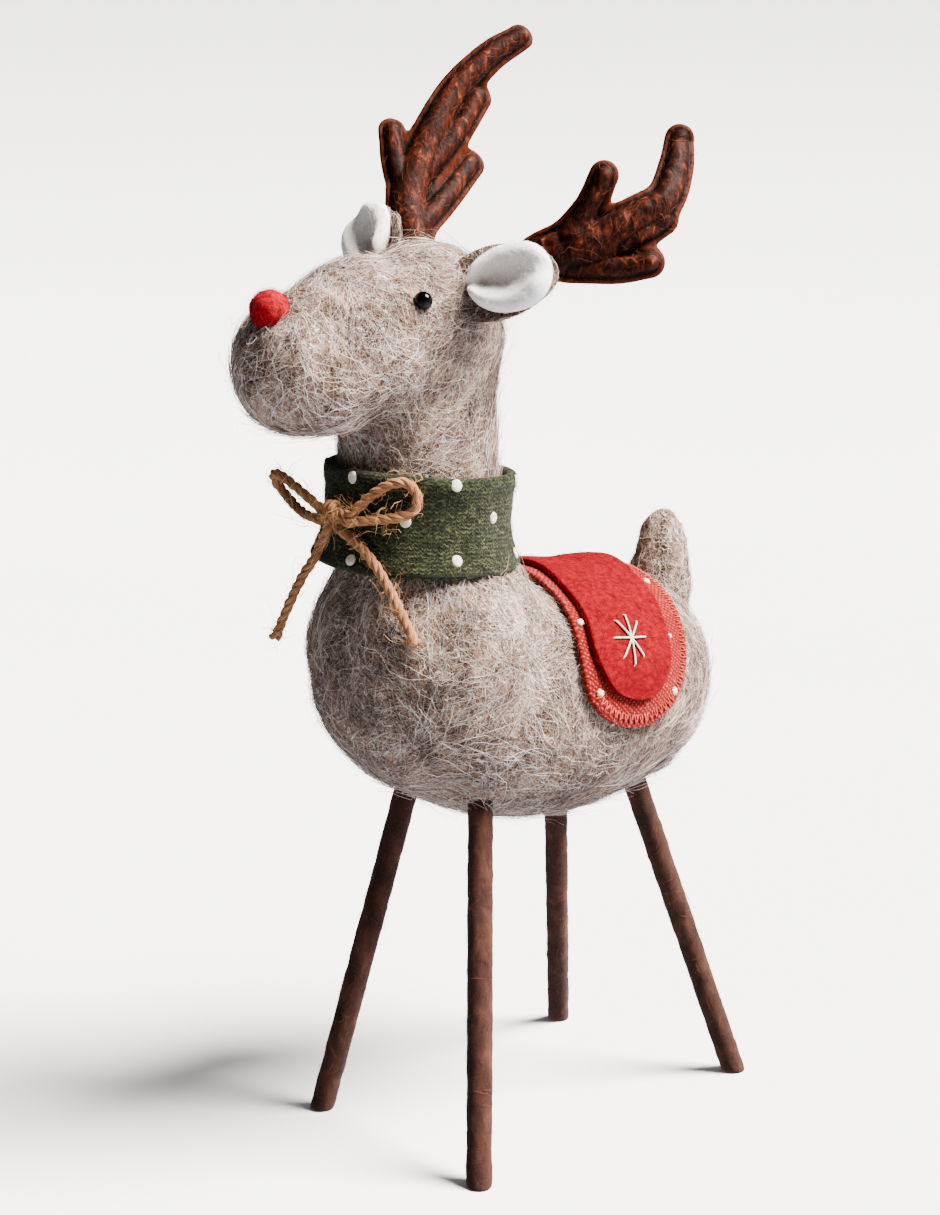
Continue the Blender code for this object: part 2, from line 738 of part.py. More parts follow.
def make_legs(wool, tree, finishes):
    """Four legs, each let into a socket in the belly."""
    for corner, (stand, hip_place) in LEGS.items():
        foot = Vector((*stand, 0.0))
        hip = Vector((*hip_place, BELLY_HEIGHT))
        axis = (hip - foot).normalized()
        entry, _ = cast(tree, foot, axis)
        top = entry + axis * LEG_SOCKET
        name = "leg_" + corner
        add_rod(name, foot, top, LEG_DIAMETER / 2, finishes["wrap"], FOOT_BEVEL)
        bore = LEG_DIAMETER / 2 + GAP
        socket = add_rod(name + "_socket", foot, top + axis * GAP, bore, finishes["wrap"], 0.0)
        cut_away(wool, guide(socket))


def make_finishes():
    """The colours of the materials."""
    return {
        "wool": material("felted wool", (0.42, 0.35, 0.30), 0.95),
        "fleece": material("white fleece", (0.85, 0.83, 0.80), 0.95),
        "suede": material("brown suede cloth", (0.13, 0.04, 0.02), 0.75),
        "nose": material("red wool ball", (0.62, 0.02, 0.02), 0.9),
        "bead": material("black glass bead", (0.01, 0.01, 0.01), 0.08),
        "knit": material("green knit", (0.05, 0.08, 0.04), 0.95),
        "jute": material("jute cord", (0.42, 0.27, 0.14), 0.9),
        "tweed": material("coral tweed felt", (0.62, 0.08, 0.06), 0.95),
        "plush": material("red plush felt", (0.60, 0.01, 0.02), 0.9),
        "wrap": material("brown wrapped felt", (0.08, 0.04, 0.025), 0.9),
    }


def centre_on_floor():
    """Move everything so that the origin lies under the middle of the pieces, cords aside."""
    corners = []
    for obj in bpy.data.objects:
        if obj.type == "MESH" and not obj.hide_render:
            mesh = evaluated_mesh(obj)
            corners.extend(v.co.copy() for v in mesh.vertices)
            bpy.data.meshes.remove(mesh)
    low, high = ([pick(c[k] for c in corners) for k in range(3)] for pick in (min, max))
    middle = [round((low[k] + high[k]) / 2, PLACE_DIGITS) for k in range(2)]
    for obj in bpy.data.objects:
        obj.location -= Vector((*middle, 0.0))


def main():
    """Build the reindeer."""
    clear_scene()
    finishes = make_finishes()
    wool = make_wool(finishes["wool"])
    tree = surface_of(wool)
    clearance = make_clearance(wool, finishes["wool"])
    make_face(wool, tree, finishes)
    make_ears(clearance, tree, finishes)
    make_antlers(clearance, tree, finishes)
    make_collar(clearance, finishes)
    make_bow(finishes)
    make_saddle(tree, finishes)
    make_tail(clearance, tree, finishes)
    make_legs(wool, tree, finishes)
    centre_on_floor()


main()
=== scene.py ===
"""Dressed reindeer ornament: felted wool, cloth antlers, knitted collar, jute bow and felt saddle.

Metres, +Z up, the animal faces -Y and its own left is +X. Every piece rides on the one body.
"""

from __future__ import annotations

import logging
import math
from dataclasses import dataclass, field
from enum import Enum
from functools import partial
from typing import Callable, Iterable, Iterator, Optional, Sequence

import bmesh
import bpy
import numpy as np
from mathutils import Matrix, Vector, noise
from mathutils.bvhtree import BVHTree


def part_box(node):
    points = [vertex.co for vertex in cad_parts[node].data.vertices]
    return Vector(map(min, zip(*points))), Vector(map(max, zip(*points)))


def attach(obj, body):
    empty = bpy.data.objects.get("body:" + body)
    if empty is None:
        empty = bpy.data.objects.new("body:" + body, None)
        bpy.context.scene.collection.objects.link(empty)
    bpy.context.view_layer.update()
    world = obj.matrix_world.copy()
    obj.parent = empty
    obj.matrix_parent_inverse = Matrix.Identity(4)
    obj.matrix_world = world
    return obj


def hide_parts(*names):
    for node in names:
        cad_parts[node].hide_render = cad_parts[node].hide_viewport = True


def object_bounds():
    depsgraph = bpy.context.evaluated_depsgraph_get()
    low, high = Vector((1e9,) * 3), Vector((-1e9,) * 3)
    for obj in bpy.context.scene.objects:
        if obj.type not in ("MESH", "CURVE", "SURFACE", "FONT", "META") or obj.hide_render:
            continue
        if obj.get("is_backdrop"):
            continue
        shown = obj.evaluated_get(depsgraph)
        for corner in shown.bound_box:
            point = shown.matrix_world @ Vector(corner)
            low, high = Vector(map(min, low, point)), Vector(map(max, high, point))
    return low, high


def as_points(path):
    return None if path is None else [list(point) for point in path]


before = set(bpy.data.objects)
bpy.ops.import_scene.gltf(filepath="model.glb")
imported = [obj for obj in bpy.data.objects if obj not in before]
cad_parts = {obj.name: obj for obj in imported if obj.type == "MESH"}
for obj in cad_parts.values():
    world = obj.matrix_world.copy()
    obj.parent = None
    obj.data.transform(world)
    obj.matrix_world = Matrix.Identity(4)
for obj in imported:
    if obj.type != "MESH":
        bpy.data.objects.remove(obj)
CAD_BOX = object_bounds()

LOG = logging.getLogger("reindeer")
BODY = "root"
Node = bpy.types.Node
Socket = bpy.types.NodeSocket
Tree = bpy.types.NodeTree
Material = bpy.types.Material
Object = bpy.types.Object
Adder = Callable[..., Node]
Look = tuple[Node, Optional[Node]]
Waves = Sequence[tuple[float, float]]

# Where the part's own working point lies in the row frame
SHIFT = Vector((-0.0060, 0.0187, 0.0))
# The neck's place along Y, from that point
NECK = -0.046
# Points nearer than this are one
DOUBLE = 1e-6


class Side(Enum):
    """The animal's own sides, with the sign of their direction along X."""

    LEFT = 1.0
    RIGHT = -1.0

    @property
    def word(self) -> str:
        """The side's name as the nodes have it."""
        return self.name.lower()


class Lie(Enum):
    """How loose fibres lie on what carries them: (lowest lift, highest lift, curl), in metres."""

    FELTED = (0.00005, 0.0016, 0.0048)
    LOOSE = (0.0002, 0.0042, 0.0090)
    PILE = (0.0000, 0.0006, 0.0010)
    FUZZ = (0.0001, 0.0010, 0.0022)
    WHISKER = (0.0003, 0.0050, 0.0060)


# Colours and nodes


def linear(hex_colour: str) -> tuple[float, float, float, float]:
    """Turn an sRGB hex value to linear.

    Args:
        hex_colour: six digits after a hash.

    Returns:
        Red, green, blue and an alpha of one.
    """
    values = [int(hex_colour[i : i + 2], 16) / 255 for i in (1, 3, 5)]
    return (*[v / 12.92 if v <= 0.04045 else ((v + 0.055) / 1.055) ** 2.4 for v in values], 1.0)


def out(node: Node, name: str = "") -> Socket:
    """The first enabled output of a node, or the one of that name."""
    return next(s for s in node.outputs if s.enabled and (not name or s.name == name))


def add_node(tree: Tree, kind: str, *values: object, links: dict[str, object] | None = None,
             stops: Sequence[tuple[float, str]] = (), **settings: object) -> Node:
    """Add a node with its settings and what goes into it.

    Args:
        tree: the tree to add to.
        kind: the node's type name.
        values: what its inputs get, in order: a value, a hex colour, a socket or a node.
        links: the same, by the inputs' names.
        stops: place and hex colour of each stop, for a colour ramp.
        settings: properties of the node.

    Returns:
        The new node.
    """
    node = tree.nodes.new(kind)
    for key, value in settings.items():
        setattr(node, key, value)
    if stops:
        band = node.color_ramp.elements
        while len(band) < len(stops):
            band.new(0.5)
        for stop, (place, colour) in zip(band, stops):
            stop.position, stop.color = place, linear(colour)
    enabled = [s for s in node.inputs if s.enabled]
    named = [(next(s for s in enabled if s.name == name), value) for name, value in (links or {}).items()]
    for socket, value in [*zip(enabled, values), *named]:
        value = out(value) if isinstance(value, Node) else value
        if isinstance(value, Socket):
            tree.links.new(value, socket)
        else:
            socket.default_value = linear(value) if isinstance(value, str) and value[:1] == "#" else value
    return node


# Finishes


@dataclass(frozen=True)
class Finish:
    """What every finish here has in common: a name, a roughness, a sheen and a relief."""

    name: str = "finish"
    roughness: float = 0.95
    sheen: float = 0.05
    specular: float = 0.12
    relief: float = 0.5
    relief_depth: float = 0.0004

    def pattern(self, add: Adder, place: Socket) -> Look:
        """The colour and the height of the surface.

        Args:
            add: adds a node to the material's tree.
            place: object coordinates in metres.

        Returns:
            The colour's node, and the height's node where there is a relief.
        """
        raise NotImplementedError

    def make(self) -> Material:
        """Build the material."""
        made = bpy.data.materials.new(self.name)
        made.use_nodes = True
        made.node_tree.nodes.clear()
        add = partial(add_node, made.node_tree)
        colour, height = self.pattern(add, out(add("ShaderNodeTexCoord"), "Object"))
        links = {"Base Color": colour, "Roughness": self.roughness, "Specular IOR Level": self.specular,
                 "Sheen Weight": self.sheen}
        if height is not None:
            links["Normal"] = add("ShaderNodeBump", links={"Strength": self.relief, "Distance": self.relief_depth,
                                                           "Height": height})
        add("ShaderNodeOutputMaterial", add("ShaderNodeBsdfPrincipled", links=links))
        return made

    def strands(self, add: Adder, place: object, size: float, width: float, shift: float, most: float = 1.0
                ) -> Node:
        """Thin curly lines, as of single hairs: the level line of a soft noise.

        Args:
            add: adds a node to the material's tree.
            place: object coordinates.
            size: how far apart the curls are, in metres.
            width: share of the noise's range that a hair takes.
            shift: moves the pattern, so that layers differ.
            most: the value on a hair.

        Returns:
            A node that is nought beside the hairs.
        """
        moved = add("ShaderNodeVectorMath", place, (shift, shift * 0.7, -shift), operation="ADD")
        curl = add("ShaderNodeTexNoise", moved, 1 / size, 1.5, 0.5, 2.0, 0.9)
        away = add("ShaderNodeMath", add("ShaderNodeMath", curl, 0.5, operation="SUBTRACT"), operation="ABSOLUTE")
        return add("ShaderNodeMapRange", away, width, 0.0, 0.0, most)

    def jitter(self, add: Adder, place: object, cloth: object, size: float, amount: float) -> Node:
        """A cloth map whose threads wander a little, as hand work does.

        Args:
            add: adds a node to the material's tree.
            place: object coordinates.
            cloth: the cloth's own map, in metres.
            size: how far apart the bends are.
            amount: how far they reach.

        Returns:
            The moved map's node.
        """
        drift = add("ShaderNodeTexNoise", place, 1 / size, 3.0)
        reach = add("ShaderNodeVectorMath", out(drift, "Color"), amount, operation="SCALE")
        return add("ShaderNodeVectorMath", cloth, reach, operation="ADD")


@dataclass(frozen=True)
class FeltedWool(Finish):
    """Needle-felted sheep's wool: matt, clouded grey-brown, with a web of dark and pale hairs in it."""

    name: str = "needle-felted wool"
    specular: float = 0.04
    relief: float = 0.8
    relief_depth: float = 0.0007
    layers: tuple[tuple[float, float, float, str, float], ...] = (
        (0.0050, 0.034, 0.11, "#241915", 0.70),
        (0.0070, 0.020, 0.37, "#b59c8e", 0.60),
        (0.0034, 0.036, 0.53, "#2c201a", 0.65),
        (0.0046, 0.026, 0.71, "#a98e80", 0.65),
        (0.0030, 0.030, 0.93, "#d9c4b6", 0.55),
        (0.0060, 0.014, 1.37, "#fbeee2", 0.80),
        (0.0040, 0.012, 1.91, "#fff6ec", 0.75),
    )

    def pattern(self, add: Adder, place: Socket) -> Look:
        """Clouds of three browns, 11 mm wide, under the layers of hairs."""
        cloud = add("ShaderNodeTexNoise", place, 1 / 0.011, 3.0, 0.55, 2.0, 0.8)
        base = add("ShaderNodeValToRGB", cloud, stops=((0.36, "#463228"), (0.50, "#785b4b"), (0.66, "#a88a77")))
        total = None
        for size, width, shift, tone, strength in self.layers:
            hair = self.strands(add, place, size, width, shift, strength)
            base = add("ShaderNodeMix", hair, base, tone, data_type="RGBA")
            total = add("ShaderNodeMath", total, hair, operation="ADD") if total else hair
        return base, total


@dataclass(frozen=True)
class SingleHair(Finish):
    """Single loose hairs: each of one tone, by its own number, so a tuft shows dark and pale ones."""

    name: str = "loose wool hair"
    roughness: float = 0.85
    specular: float = 0.06
    tones: tuple[tuple[float, str], ...] = (
        (0.0, "#2a1d17"), (0.16, "#624a3e"), (0.36, "#957a69"), (0.60, "#d3bcad"), (1.0, "#fff6ee"),
    )
    shade: str = "#4b372c"
    clouds: float = 0.45

    def pattern(self, add: Adder, place: Socket) -> Look:
        """A tone for each hair, darker in clouds 11 mm wide."""
        number = out(add("ShaderNodeAttribute", attribute_name="strand"), "Fac")
        cloud = add("ShaderNodeTexNoise", place, 1 / 0.011, 3.0, 0.55, 2.0, 0.8)
        cloud = add("ShaderNodeMapRange", cloud, 0.60, 0.40, 0.0, self.clouds)
        tone = add("ShaderNodeValToRGB", number, stops=self.tones)
        return add("ShaderNodeMix", cloud, tone, self.shade, data_type="RGBA"), None


@dataclass(frozen=True)
class Fleece(Finish):
    """White polar fleece: a short dense pile that scatters the light, with painted grey shade where it is folded."""

    name: str = "white fleece"
    roughness: float = 1.0
    sheen: float = 0.15
    relief: float = 0.35
    relief_depth: float = 0.0003

    def pattern(self, add: Adder, place: Socket) -> Look:
        """Off-white with a faint 0.7 mm pile, and painted grey shade in the fold."""
        pile = add("ShaderNodeTexNoise", place, 1 / 0.0007, 3.0)
        base = add("ShaderNodeValToRGB", pile, stops=((0.3, "#e2ddd7"), (0.7, "#fbf8f4")))
        # Painted shade: the fold's mask darkens the colour to grey #71675f where the lining is creased.
        fold = out(add("ShaderNodeAttribute", attribute_name="fold"), "Fac")
        return add("ShaderNodeMix", fold, base, "#71675f", data_type="RGBA"), pile


@dataclass(frozen=True)
class SuedeCloth(Finish):
    """Brushed suede cloth: napped red-brown, with painted shade near black in the sewn creases, rusty along its cut
    edge.
    """

    name: str = "brown suede cloth"
    roughness: float = 0.55
    sheen: float = 0.0
    specular: float = 0.04
    relief: float = 0.6
    relief_depth: float = 0.0005

    def pattern(self, add: Adder, place: Socket) -> Look:
        """Brushed blotches of 1.6 mm, painted shade in the creases and a rusty edge."""
        stretch = add("ShaderNodeMapping", links={"Vector": place, "Scale": (1.0, 1.0, 0.5)})
        brushed = add("ShaderNodeTexNoise", stretch, 1 / 0.0016, 6.0, 0.6, 2.0, 0.6)
        grain = add("ShaderNodeTexNoise", place, 1 / 0.0005, 3.0)
        patch = add("ShaderNodeTexNoise", place, 1 / 0.008, 2.0)
        base = add("ShaderNodeValToRGB", brushed,
                   stops=((0.30, "#0e0402"), (0.45, "#260d06"), (0.60, "#4c1e0f"), (0.80, "#a35e40")))
        base = add("ShaderNodeMix", add("ShaderNodeMapRange", patch, 0.42, 0.62, 0.0, 0.75), base, "#150704",
                   data_type="RGBA")
        # The crease mask paints shade: near black #080201 in the sewn creases and between the tines.
        for word, most, tone in (("edge", 0.5, "#56200e"), ("crease", 0.94, "#080201")):
            here = out(add("ShaderNodeAttribute", attribute_name=word), "Fac")
            base = add("ShaderNodeMix", add("ShaderNodeMath", here, most, operation="MULTIPLY"), base, tone,
                       data_type="RGBA")
        return base, add("ShaderNodeMath", grain, 0.4, brushed, operation="MULTIPLY_ADD")


@dataclass(frozen=True)
class DyedFelt(Finish):
    """Dyed felt: one strong red with a fibrous bloom, for the nose and the blanket's top."""

    deep: str = "#440005"
    main: str = "#63000a"
    bloom: str = "#830212"
    grain: float = 0.0012
    specular: float = 0.05
    sheen: float = 0.0

    def pattern(self, add: Adder, place: Socket) -> Look:
        """Three near reds with single hairs of the brightest, brushed one way."""
        along = add("ShaderNodeMapping", links={"Vector": place, "Scale": (1.0, 0.45, 0.7)})
        cloud = add("ShaderNodeTexNoise", along, 1 / self.grain, 5.0, 0.6, 2.0, 0.3)
        base = add("ShaderNodeValToRGB", cloud, stops=((0.30, self.deep), (0.52, self.main), (0.78, self.bloom)))
        hair = self.strands(add, place, self.grain * 2, 0.016, 0.23, 0.5)
        base = add("ShaderNodeMix", hair, base, self.bloom, data_type="RGBA")
        return base, add("ShaderNodeMath", hair, cloud, operation="ADD")


@dataclass(frozen=True)
class TweedFelt(Finish):
    """Woven coral tweed, brushed: slanting 1.1 mm threads with pale and dark flecks."""

    name: str = "coral tweed"
    relief: float = 0.7
    relief_depth: float = 0.0005
    thread: float = 0.0011

    def pattern(self, add: Adder, place: Socket) -> Look:
        """Slanting weave from the cloth's own map, and flecks."""
        moved = self.jitter(add, place, add("ShaderNodeUVMap", uv_map="cloth"), 0.002, 0.0006)
        first, second = (add("ShaderNodeTexWave", add(
            "ShaderNodeMapping", links={"Vector": moved, "Rotation": (0.0, 0.0, math.radians(turn))}),
            1 / self.thread / math.pi, 1.5, 1.0, wave_type="BANDS") for turn in (38.0, -42.0))
        height = add("ShaderNodeMath", out(first, "Fac"), out(second, "Fac"), operation="MULTIPLY")
        base = add("ShaderNodeValToRGB", height, stops=((0.0, "#5a0605"), (0.35, "#820e0b"), (0.8, "#9a221a")))
        fleck = add("ShaderNodeMapRange", add("ShaderNodeTexNoise", place, 1 / 0.0009, 2.0), 0.62, 0.70, 0.0, 0.4)
        return add("ShaderNodeMix", fleck, base, "#cf7258", data_type="RGBA"), height


@dataclass(frozen=True)
class GreenKnit(Finish):
    """Brushed wool stockinette: rows of small slanting stitches half lost in their nap, dark heathered green with
    painted shade in the gaps between stitches.
    """

    name: str = "green wool knit"
    roughness: float = 1.0
    relief: float = 1.0
    relief_depth: float = 0.0007
    stitch: tuple[float, float] = (0.0016, 0.0011)

    def pattern(self, add: Adder, place: Socket) -> Look:
        """Each stitch is a leaning pair: a row's phase shifted by the distance from its column's middle."""
        moved = self.jitter(add, place, add("ShaderNodeUVMap", uv_map="cloth"), 0.004, 0.0012)
        split = add("ShaderNodeSeparateXYZ", moved)
        wide, high = self.stitch
        column = add("ShaderNodeMath", add("ShaderNodeMath", out(split, "X"), 1 / wide, operation="MULTIPLY"),
                     operation="FRACT")
        lean = add("ShaderNodeMath", add("ShaderNodeMath", column, 0.5, operation="SUBTRACT"), operation="ABSOLUTE")
        row = add("ShaderNodeMath", out(split, "Y"), 1 / high, lean, operation="MULTIPLY_ADD")
        wave = add("ShaderNodeMath", add("ShaderNodeMath", row, 2 * math.pi, operation="MULTIPLY"), operation="SINE")
        gap = add("ShaderNodeMapRange", lean, 0.0, 0.14, 0.3, 1.0)
        body = add("ShaderNodeMath", add("ShaderNodeMapRange", wave, -1.0, 1.0, 0.0, 1.0), gap, operation="MULTIPLY")
        squash = add("ShaderNodeMapping", links={"Vector": moved, "Scale": (0.5, 1.0, 1.0)})
        nap = add("ShaderNodeTexNoise", squash, 1 / 0.0011, 5.0, 0.6, 2.0, 1.0)
        height = add("ShaderNodeMath", body, 0.17, nap, operation="MULTIPLY_ADD")
        # The colour follows the stitch height: painted shade, near black, in the gaps between stitches; the lighter
        # tops are the yarn.
        base = add("ShaderNodeValToRGB", height,
                   stops=((0.38, "#050602"), (0.52, "#12160a"), (0.66, "#282d19"), (0.85, "#5a5b3c")))
        cloud = add("ShaderNodeTexNoise", place, 1 / 0.011, 3.0)
        base = add("ShaderNodeMix", add("ShaderNodeMapRange", cloud, 0.4, 0.7, 0.0, 0.4), base, "#14190c",
                   data_type="RGBA")
        return add("ShaderNodeMix", self.strands(add, place, 0.003, 0.012, 0.5, 0.4), base, "#73724f",
                   data_type="RGBA"), height


@dataclass(frozen=True)
class Jute(Finish):
    """Twisted jute: long stiff straw-brown fibres that run along each strand."""

    name: str = "jute"
    roughness: float = 0.8
    specular: float = 0.2
    relief: float = 0.8
    relief_depth: float = 0.00025

    def pattern(self, add: Adder, place: Socket) -> Look:
        """Streaks of 0.2 mm along the strand, from its own map of (along, around) in metres."""
        strand = add("ShaderNodeUVMap", uv_map="strand")
        long = add("ShaderNodeMapping", links={"Vector": strand, "Scale": (0.045, 1.0, 1.0)})
        streak = add("ShaderNodeTexNoise", long, 1 / 0.00022, 3.0, 0.6, 2.0, 0.3)
        patch = add("ShaderNodeTexNoise", place, 1 / 0.006, 2.0)
        base = add("ShaderNodeValToRGB", streak,
                   stops=((0.28, "#3d2010"), (0.45, "#835233"), (0.60, "#b27c50"), (0.80, "#ecc596")))
        patch = add("ShaderNodeMapRange", patch, 0.4, 0.7, 0.0, 0.35)
        return add("ShaderNodeMix", patch, base, "#6b4223", data_type="RGBA"), streak


@dataclass(frozen=True)
class WrapFelt(Finish):
    """Thin pressed felt glued round a dowel: dark brown, slightly mottled, with matted fibres."""

    name: str = "brown pressed felt"
    relief: float = 0.6

    def pattern(self, add: Adder, place: Socket) -> Look:
        """Mottled browns, 4 mm wide, and fine matted fibres."""
        stretch = add("ShaderNodeMapping", links={"Vector": place, "Scale": (1.0, 1.0, 0.5)})
        mottle = add("ShaderNodeTexNoise", stretch, 1 / 0.0042, 5.0, 0.5, 2.0, 0.4)
        base = add("ShaderNodeValToRGB", mottle, stops=((0.3, "#25130d"), (0.5, "#351c14"), (0.7, "#482a1f")))
        hair = self.strands(add, place, 0.0018, 0.02, 0.3, 0.35)
        base = add("ShaderNodeMix", hair, base, "#5a382b", data_type="RGBA")
        return base, add("ShaderNodeMath", hair, mottle, operation="ADD")


@dataclass(frozen=True, kw_only=True)
class Plain(Finish):
    """A near-even finish of thread, bead or paper: one colour with a little drift."""

    low: str
    high: str
    grain: float = 0.0008

    def pattern(self, add: Adder, place: Socket) -> Look:
        """Two near tones."""
        drift = add("ShaderNodeTexNoise", place, 1 / self.grain, 2.0)
        return add("ShaderNodeValToRGB", drift, stops=((0.3, self.low), (0.7, self.high))), drift


# Mesh helpers


def mesh_object(name: str, points: Sequence, faces: Sequence, finish: Material,
                uv: tuple[str, Sequence] | None = None, values: dict[str, Sequence] | None = None) -> Object:
    """Make an object from points and faces.

    Args:
        name: its name.
        points: the vertices.
        faces: vertex numbers of each face.
        finish: its material.
        uv: the name of a map, and its place for each vertex.
        values: named numbers for each vertex.

    Returns:
        The object, in the scene.
    """
    mesh = bpy.data.meshes.new(name)
    mesh.from_pydata([tuple(p) for p in points], [], [tuple(int(k) for k in f) for f in faces])
    if uv is not None:
        layer = mesh.uv_layers.new(name=uv[0])
        corners = np.empty(len(mesh.loops), dtype=np.int32)
        mesh.loops.foreach_get("vertex_index", corners)
        layer.data.foreach_set("uv", np.asarray(uv[1], dtype=np.float32)[corners].ravel())
    for key, numbers in (values or {}).items():
        mesh.attributes.new(key, "FLOAT", "POINT").data.foreach_set("value", np.asarray(numbers, dtype=np.float32))
    mesh.validate()
    mesh.shade_smooth()
    mesh.materials.append(finish)
    return in_scene(name, mesh)


def in_scene(name: str, data: bpy.types.ID) -> Object:
    """A new object of some data, in the scene."""
    made = bpy.data.objects.new(name, data)
    bpy.context.scene.collection.objects.link(made)
    return made


def wear(piece: Object, node: str) -> Object:
    """Let a piece ride on the body in place of a node, which it hides."""
    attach(piece, BODY)
    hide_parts(node)
    return piece


def bands(gaps: int, ring: int, start: int = 0) -> list[tuple[int, ...]]:
    """The four-cornered faces between closed rings of points.

    Args:
        gaps: how many gaps between rings there are.
        ring: how many points a ring has.
        start: the number of the first point.

    Returns:
        The faces' vertex numbers.
    """
    faces = []
    for i in range(gaps):
        for k in range(ring):
            a, b = start + i * ring + k, start + i * ring + (k + 1) % ring
            faces.append((a, b, b + ring, a + ring))
    return faces


def bell(away: float | np.ndarray, width: float) -> float | np.ndarray:
    """A soft bump: one in its middle and next to nought at twice its width."""
    power = -((away / width) ** 2)
    return np.exp(power) if isinstance(power, np.ndarray) else math.exp(power)


def lumps(spot: Vector, waves: Waves, shift: Vector) -> float:
    """How far soft noise moves a spot: the size and depth of each wave are in metres."""
    return sum(noise.noise(spot / size + shift) * depth for size, depth in waves)


def outward(obj: Object) -> Object:
    """Merge doubles and turn all faces outwards."""
    bm = bmesh.new()
    bm.from_mesh(obj.data)
    bmesh.ops.remove_doubles(bm, verts=bm.verts, dist=DOUBLE)
    bmesh.ops.recalc_face_normals(bm, faces=bm.faces)
    bm.to_mesh(obj.data)
    bm.free()
    return obj


def settle(obj: Object) -> Object:
    """Work an object's modifiers into its mesh."""
    bpy.context.view_layer.update()
    graph = bpy.context.evaluated_depsgraph_get()
    mesh = bpy.data.meshes.new_from_object(obj.evaluated_get(graph))
    mesh.name = obj.name
    obj.modifiers.clear()
    obj.data = mesh
    return obj


def melted(obj: Object, voxel: float, smoothing: int) -> Object:
    """Remesh an object finely and soften it."""
    melt = obj.modifiers.new("melt", "REMESH")
    melt.mode = "VOXEL"
    melt.voxel_size = voxel
    soften = obj.modifiers.new("soften", "SMOOTH")
    soften.factor = 0.5
    soften.iterations = smoothing
    return settle(obj)


def rumple(obj: Object, waves: Waves, seed: float) -> None:
    """Move the points of an object in and out by soft noise.

    Args:
        obj: the object.
        waves: the size of the lumps and how deep they are, in metres.
        seed: where in the noise to read.
    """
    mesh = obj.data
    offset = Vector((seed, seed * 0.37, -seed))
    moved = [v.co + v.normal * lumps(v.co, waves, offset) for v in mesh.vertices]
    mesh.vertices.foreach_set("co", [c for p in moved for c in p])
    mesh.update()


def tree_of(obj: Object) -> BVHTree:
    """A tree for ray casts on an object's own mesh."""
    spots = [v.co.copy() for v in obj.data.vertices]
    return BVHTree.FromPolygons(spots, [tuple(p.vertices) for p in obj.data.polygons])


def share_out(obj: Object, name: str, keep: Callable[[Vector], float]) -> None:
    """Give each point of a piece its share of the fibres."""
    numbers = np.array([keep(v.co) for v in obj.data.vertices], dtype=np.float32)
    obj.data.attributes.new(name, "FLOAT", "POINT").data.foreach_set("value", numbers)


def smooth_path(points: Sequence[Sequence[float]], count: int) -> list[Vector]:
    """Points along a smooth curve through a few given ones.

    Args:
        points: the given ones.
        count: how many to return.

    Returns:
        The points of the curve.
    """
    given = [Vector(p) for p in points]
    ends = [given[0] * 2 - given[1], *given, given[-1] * 2 - given[-2]]
    path = []
    for step in range(count):
        place = step / (count - 1) * (len(given) - 1)
        span = min(int(place), len(given) - 2)
        t = place - span
        a, b, c, d = ends[span : span + 4]
        path.append(0.5 * (2 * b + (c - a) * t + (2 * a - 5 * b + 4 * c - d) * t * t + (3 * b - a - 3 * c + d) * t**3))
    return path


def walk(path: Sequence[Vector]) -> Iterator[tuple[float, Vector, Vector, Vector]]:
    """Go along a path with axes that turn as little as they can.

    Args:
        path: its points.

    Yields:
        The length so far, the point, and two axes square to the path.
    """
    across = (path[1] - path[0]).normalized().orthogonal().normalized()
    along = 0.0
    for i, centre in enumerate(path):
        ahead = (path[min(i + 1, len(path) - 1)] - path[max(i - 1, 0)]).normalized()
        across = (across - ahead * across.dot(ahead)).normalized()
        if i:
            along += (centre - path[i - 1]).length
        yield along, centre, across, ahead.cross(across)


def tube(path: Sequence[Vector], radii: Sequence[float], sides: int, start: int) -> tuple[list, list, list]:
    """A closed round tube along a path.

    Args:
        path: its middle line.
        radii: its radius at each point.
        sides: how many sides it has.
        start: the number of its first vertex.

    Returns:
        Points, faces, and a map of (along, around) in metres.
    """
    points, places = [], []
    for (along, centre, across, other), radius in zip(walk(path), radii):
        for k in range(sides):
            angle = 2 * math.pi * k / sides
            points.append(centre + (across * math.cos(angle) + other * math.sin(angle)) * radius)
            places.append((along, radius * angle))
    faces = bands(len(path) - 1, sides, start)
    last = start + (len(path) - 1) * sides
    faces.append(tuple(start + k for k in reversed(range(sides))))
    faces.append(tuple(last + k for k in range(sides)))
    return points, faces, places


def joined_tubes(name: str, runs: Iterable[tuple[Sequence[Vector], Sequence[float]]], sides: int,
                 finish: Material) -> Object:
    """One object of several tubes, each with its strand map."""
    points, faces, places = [], [], []
    for path, radii in runs:
        p, f, m = tube(path, radii, sides, len(points))
        points += p
        faces += f
        places += m
    return mesh_object(name, points, faces, finish, uv=("strand", places))


# Fibres


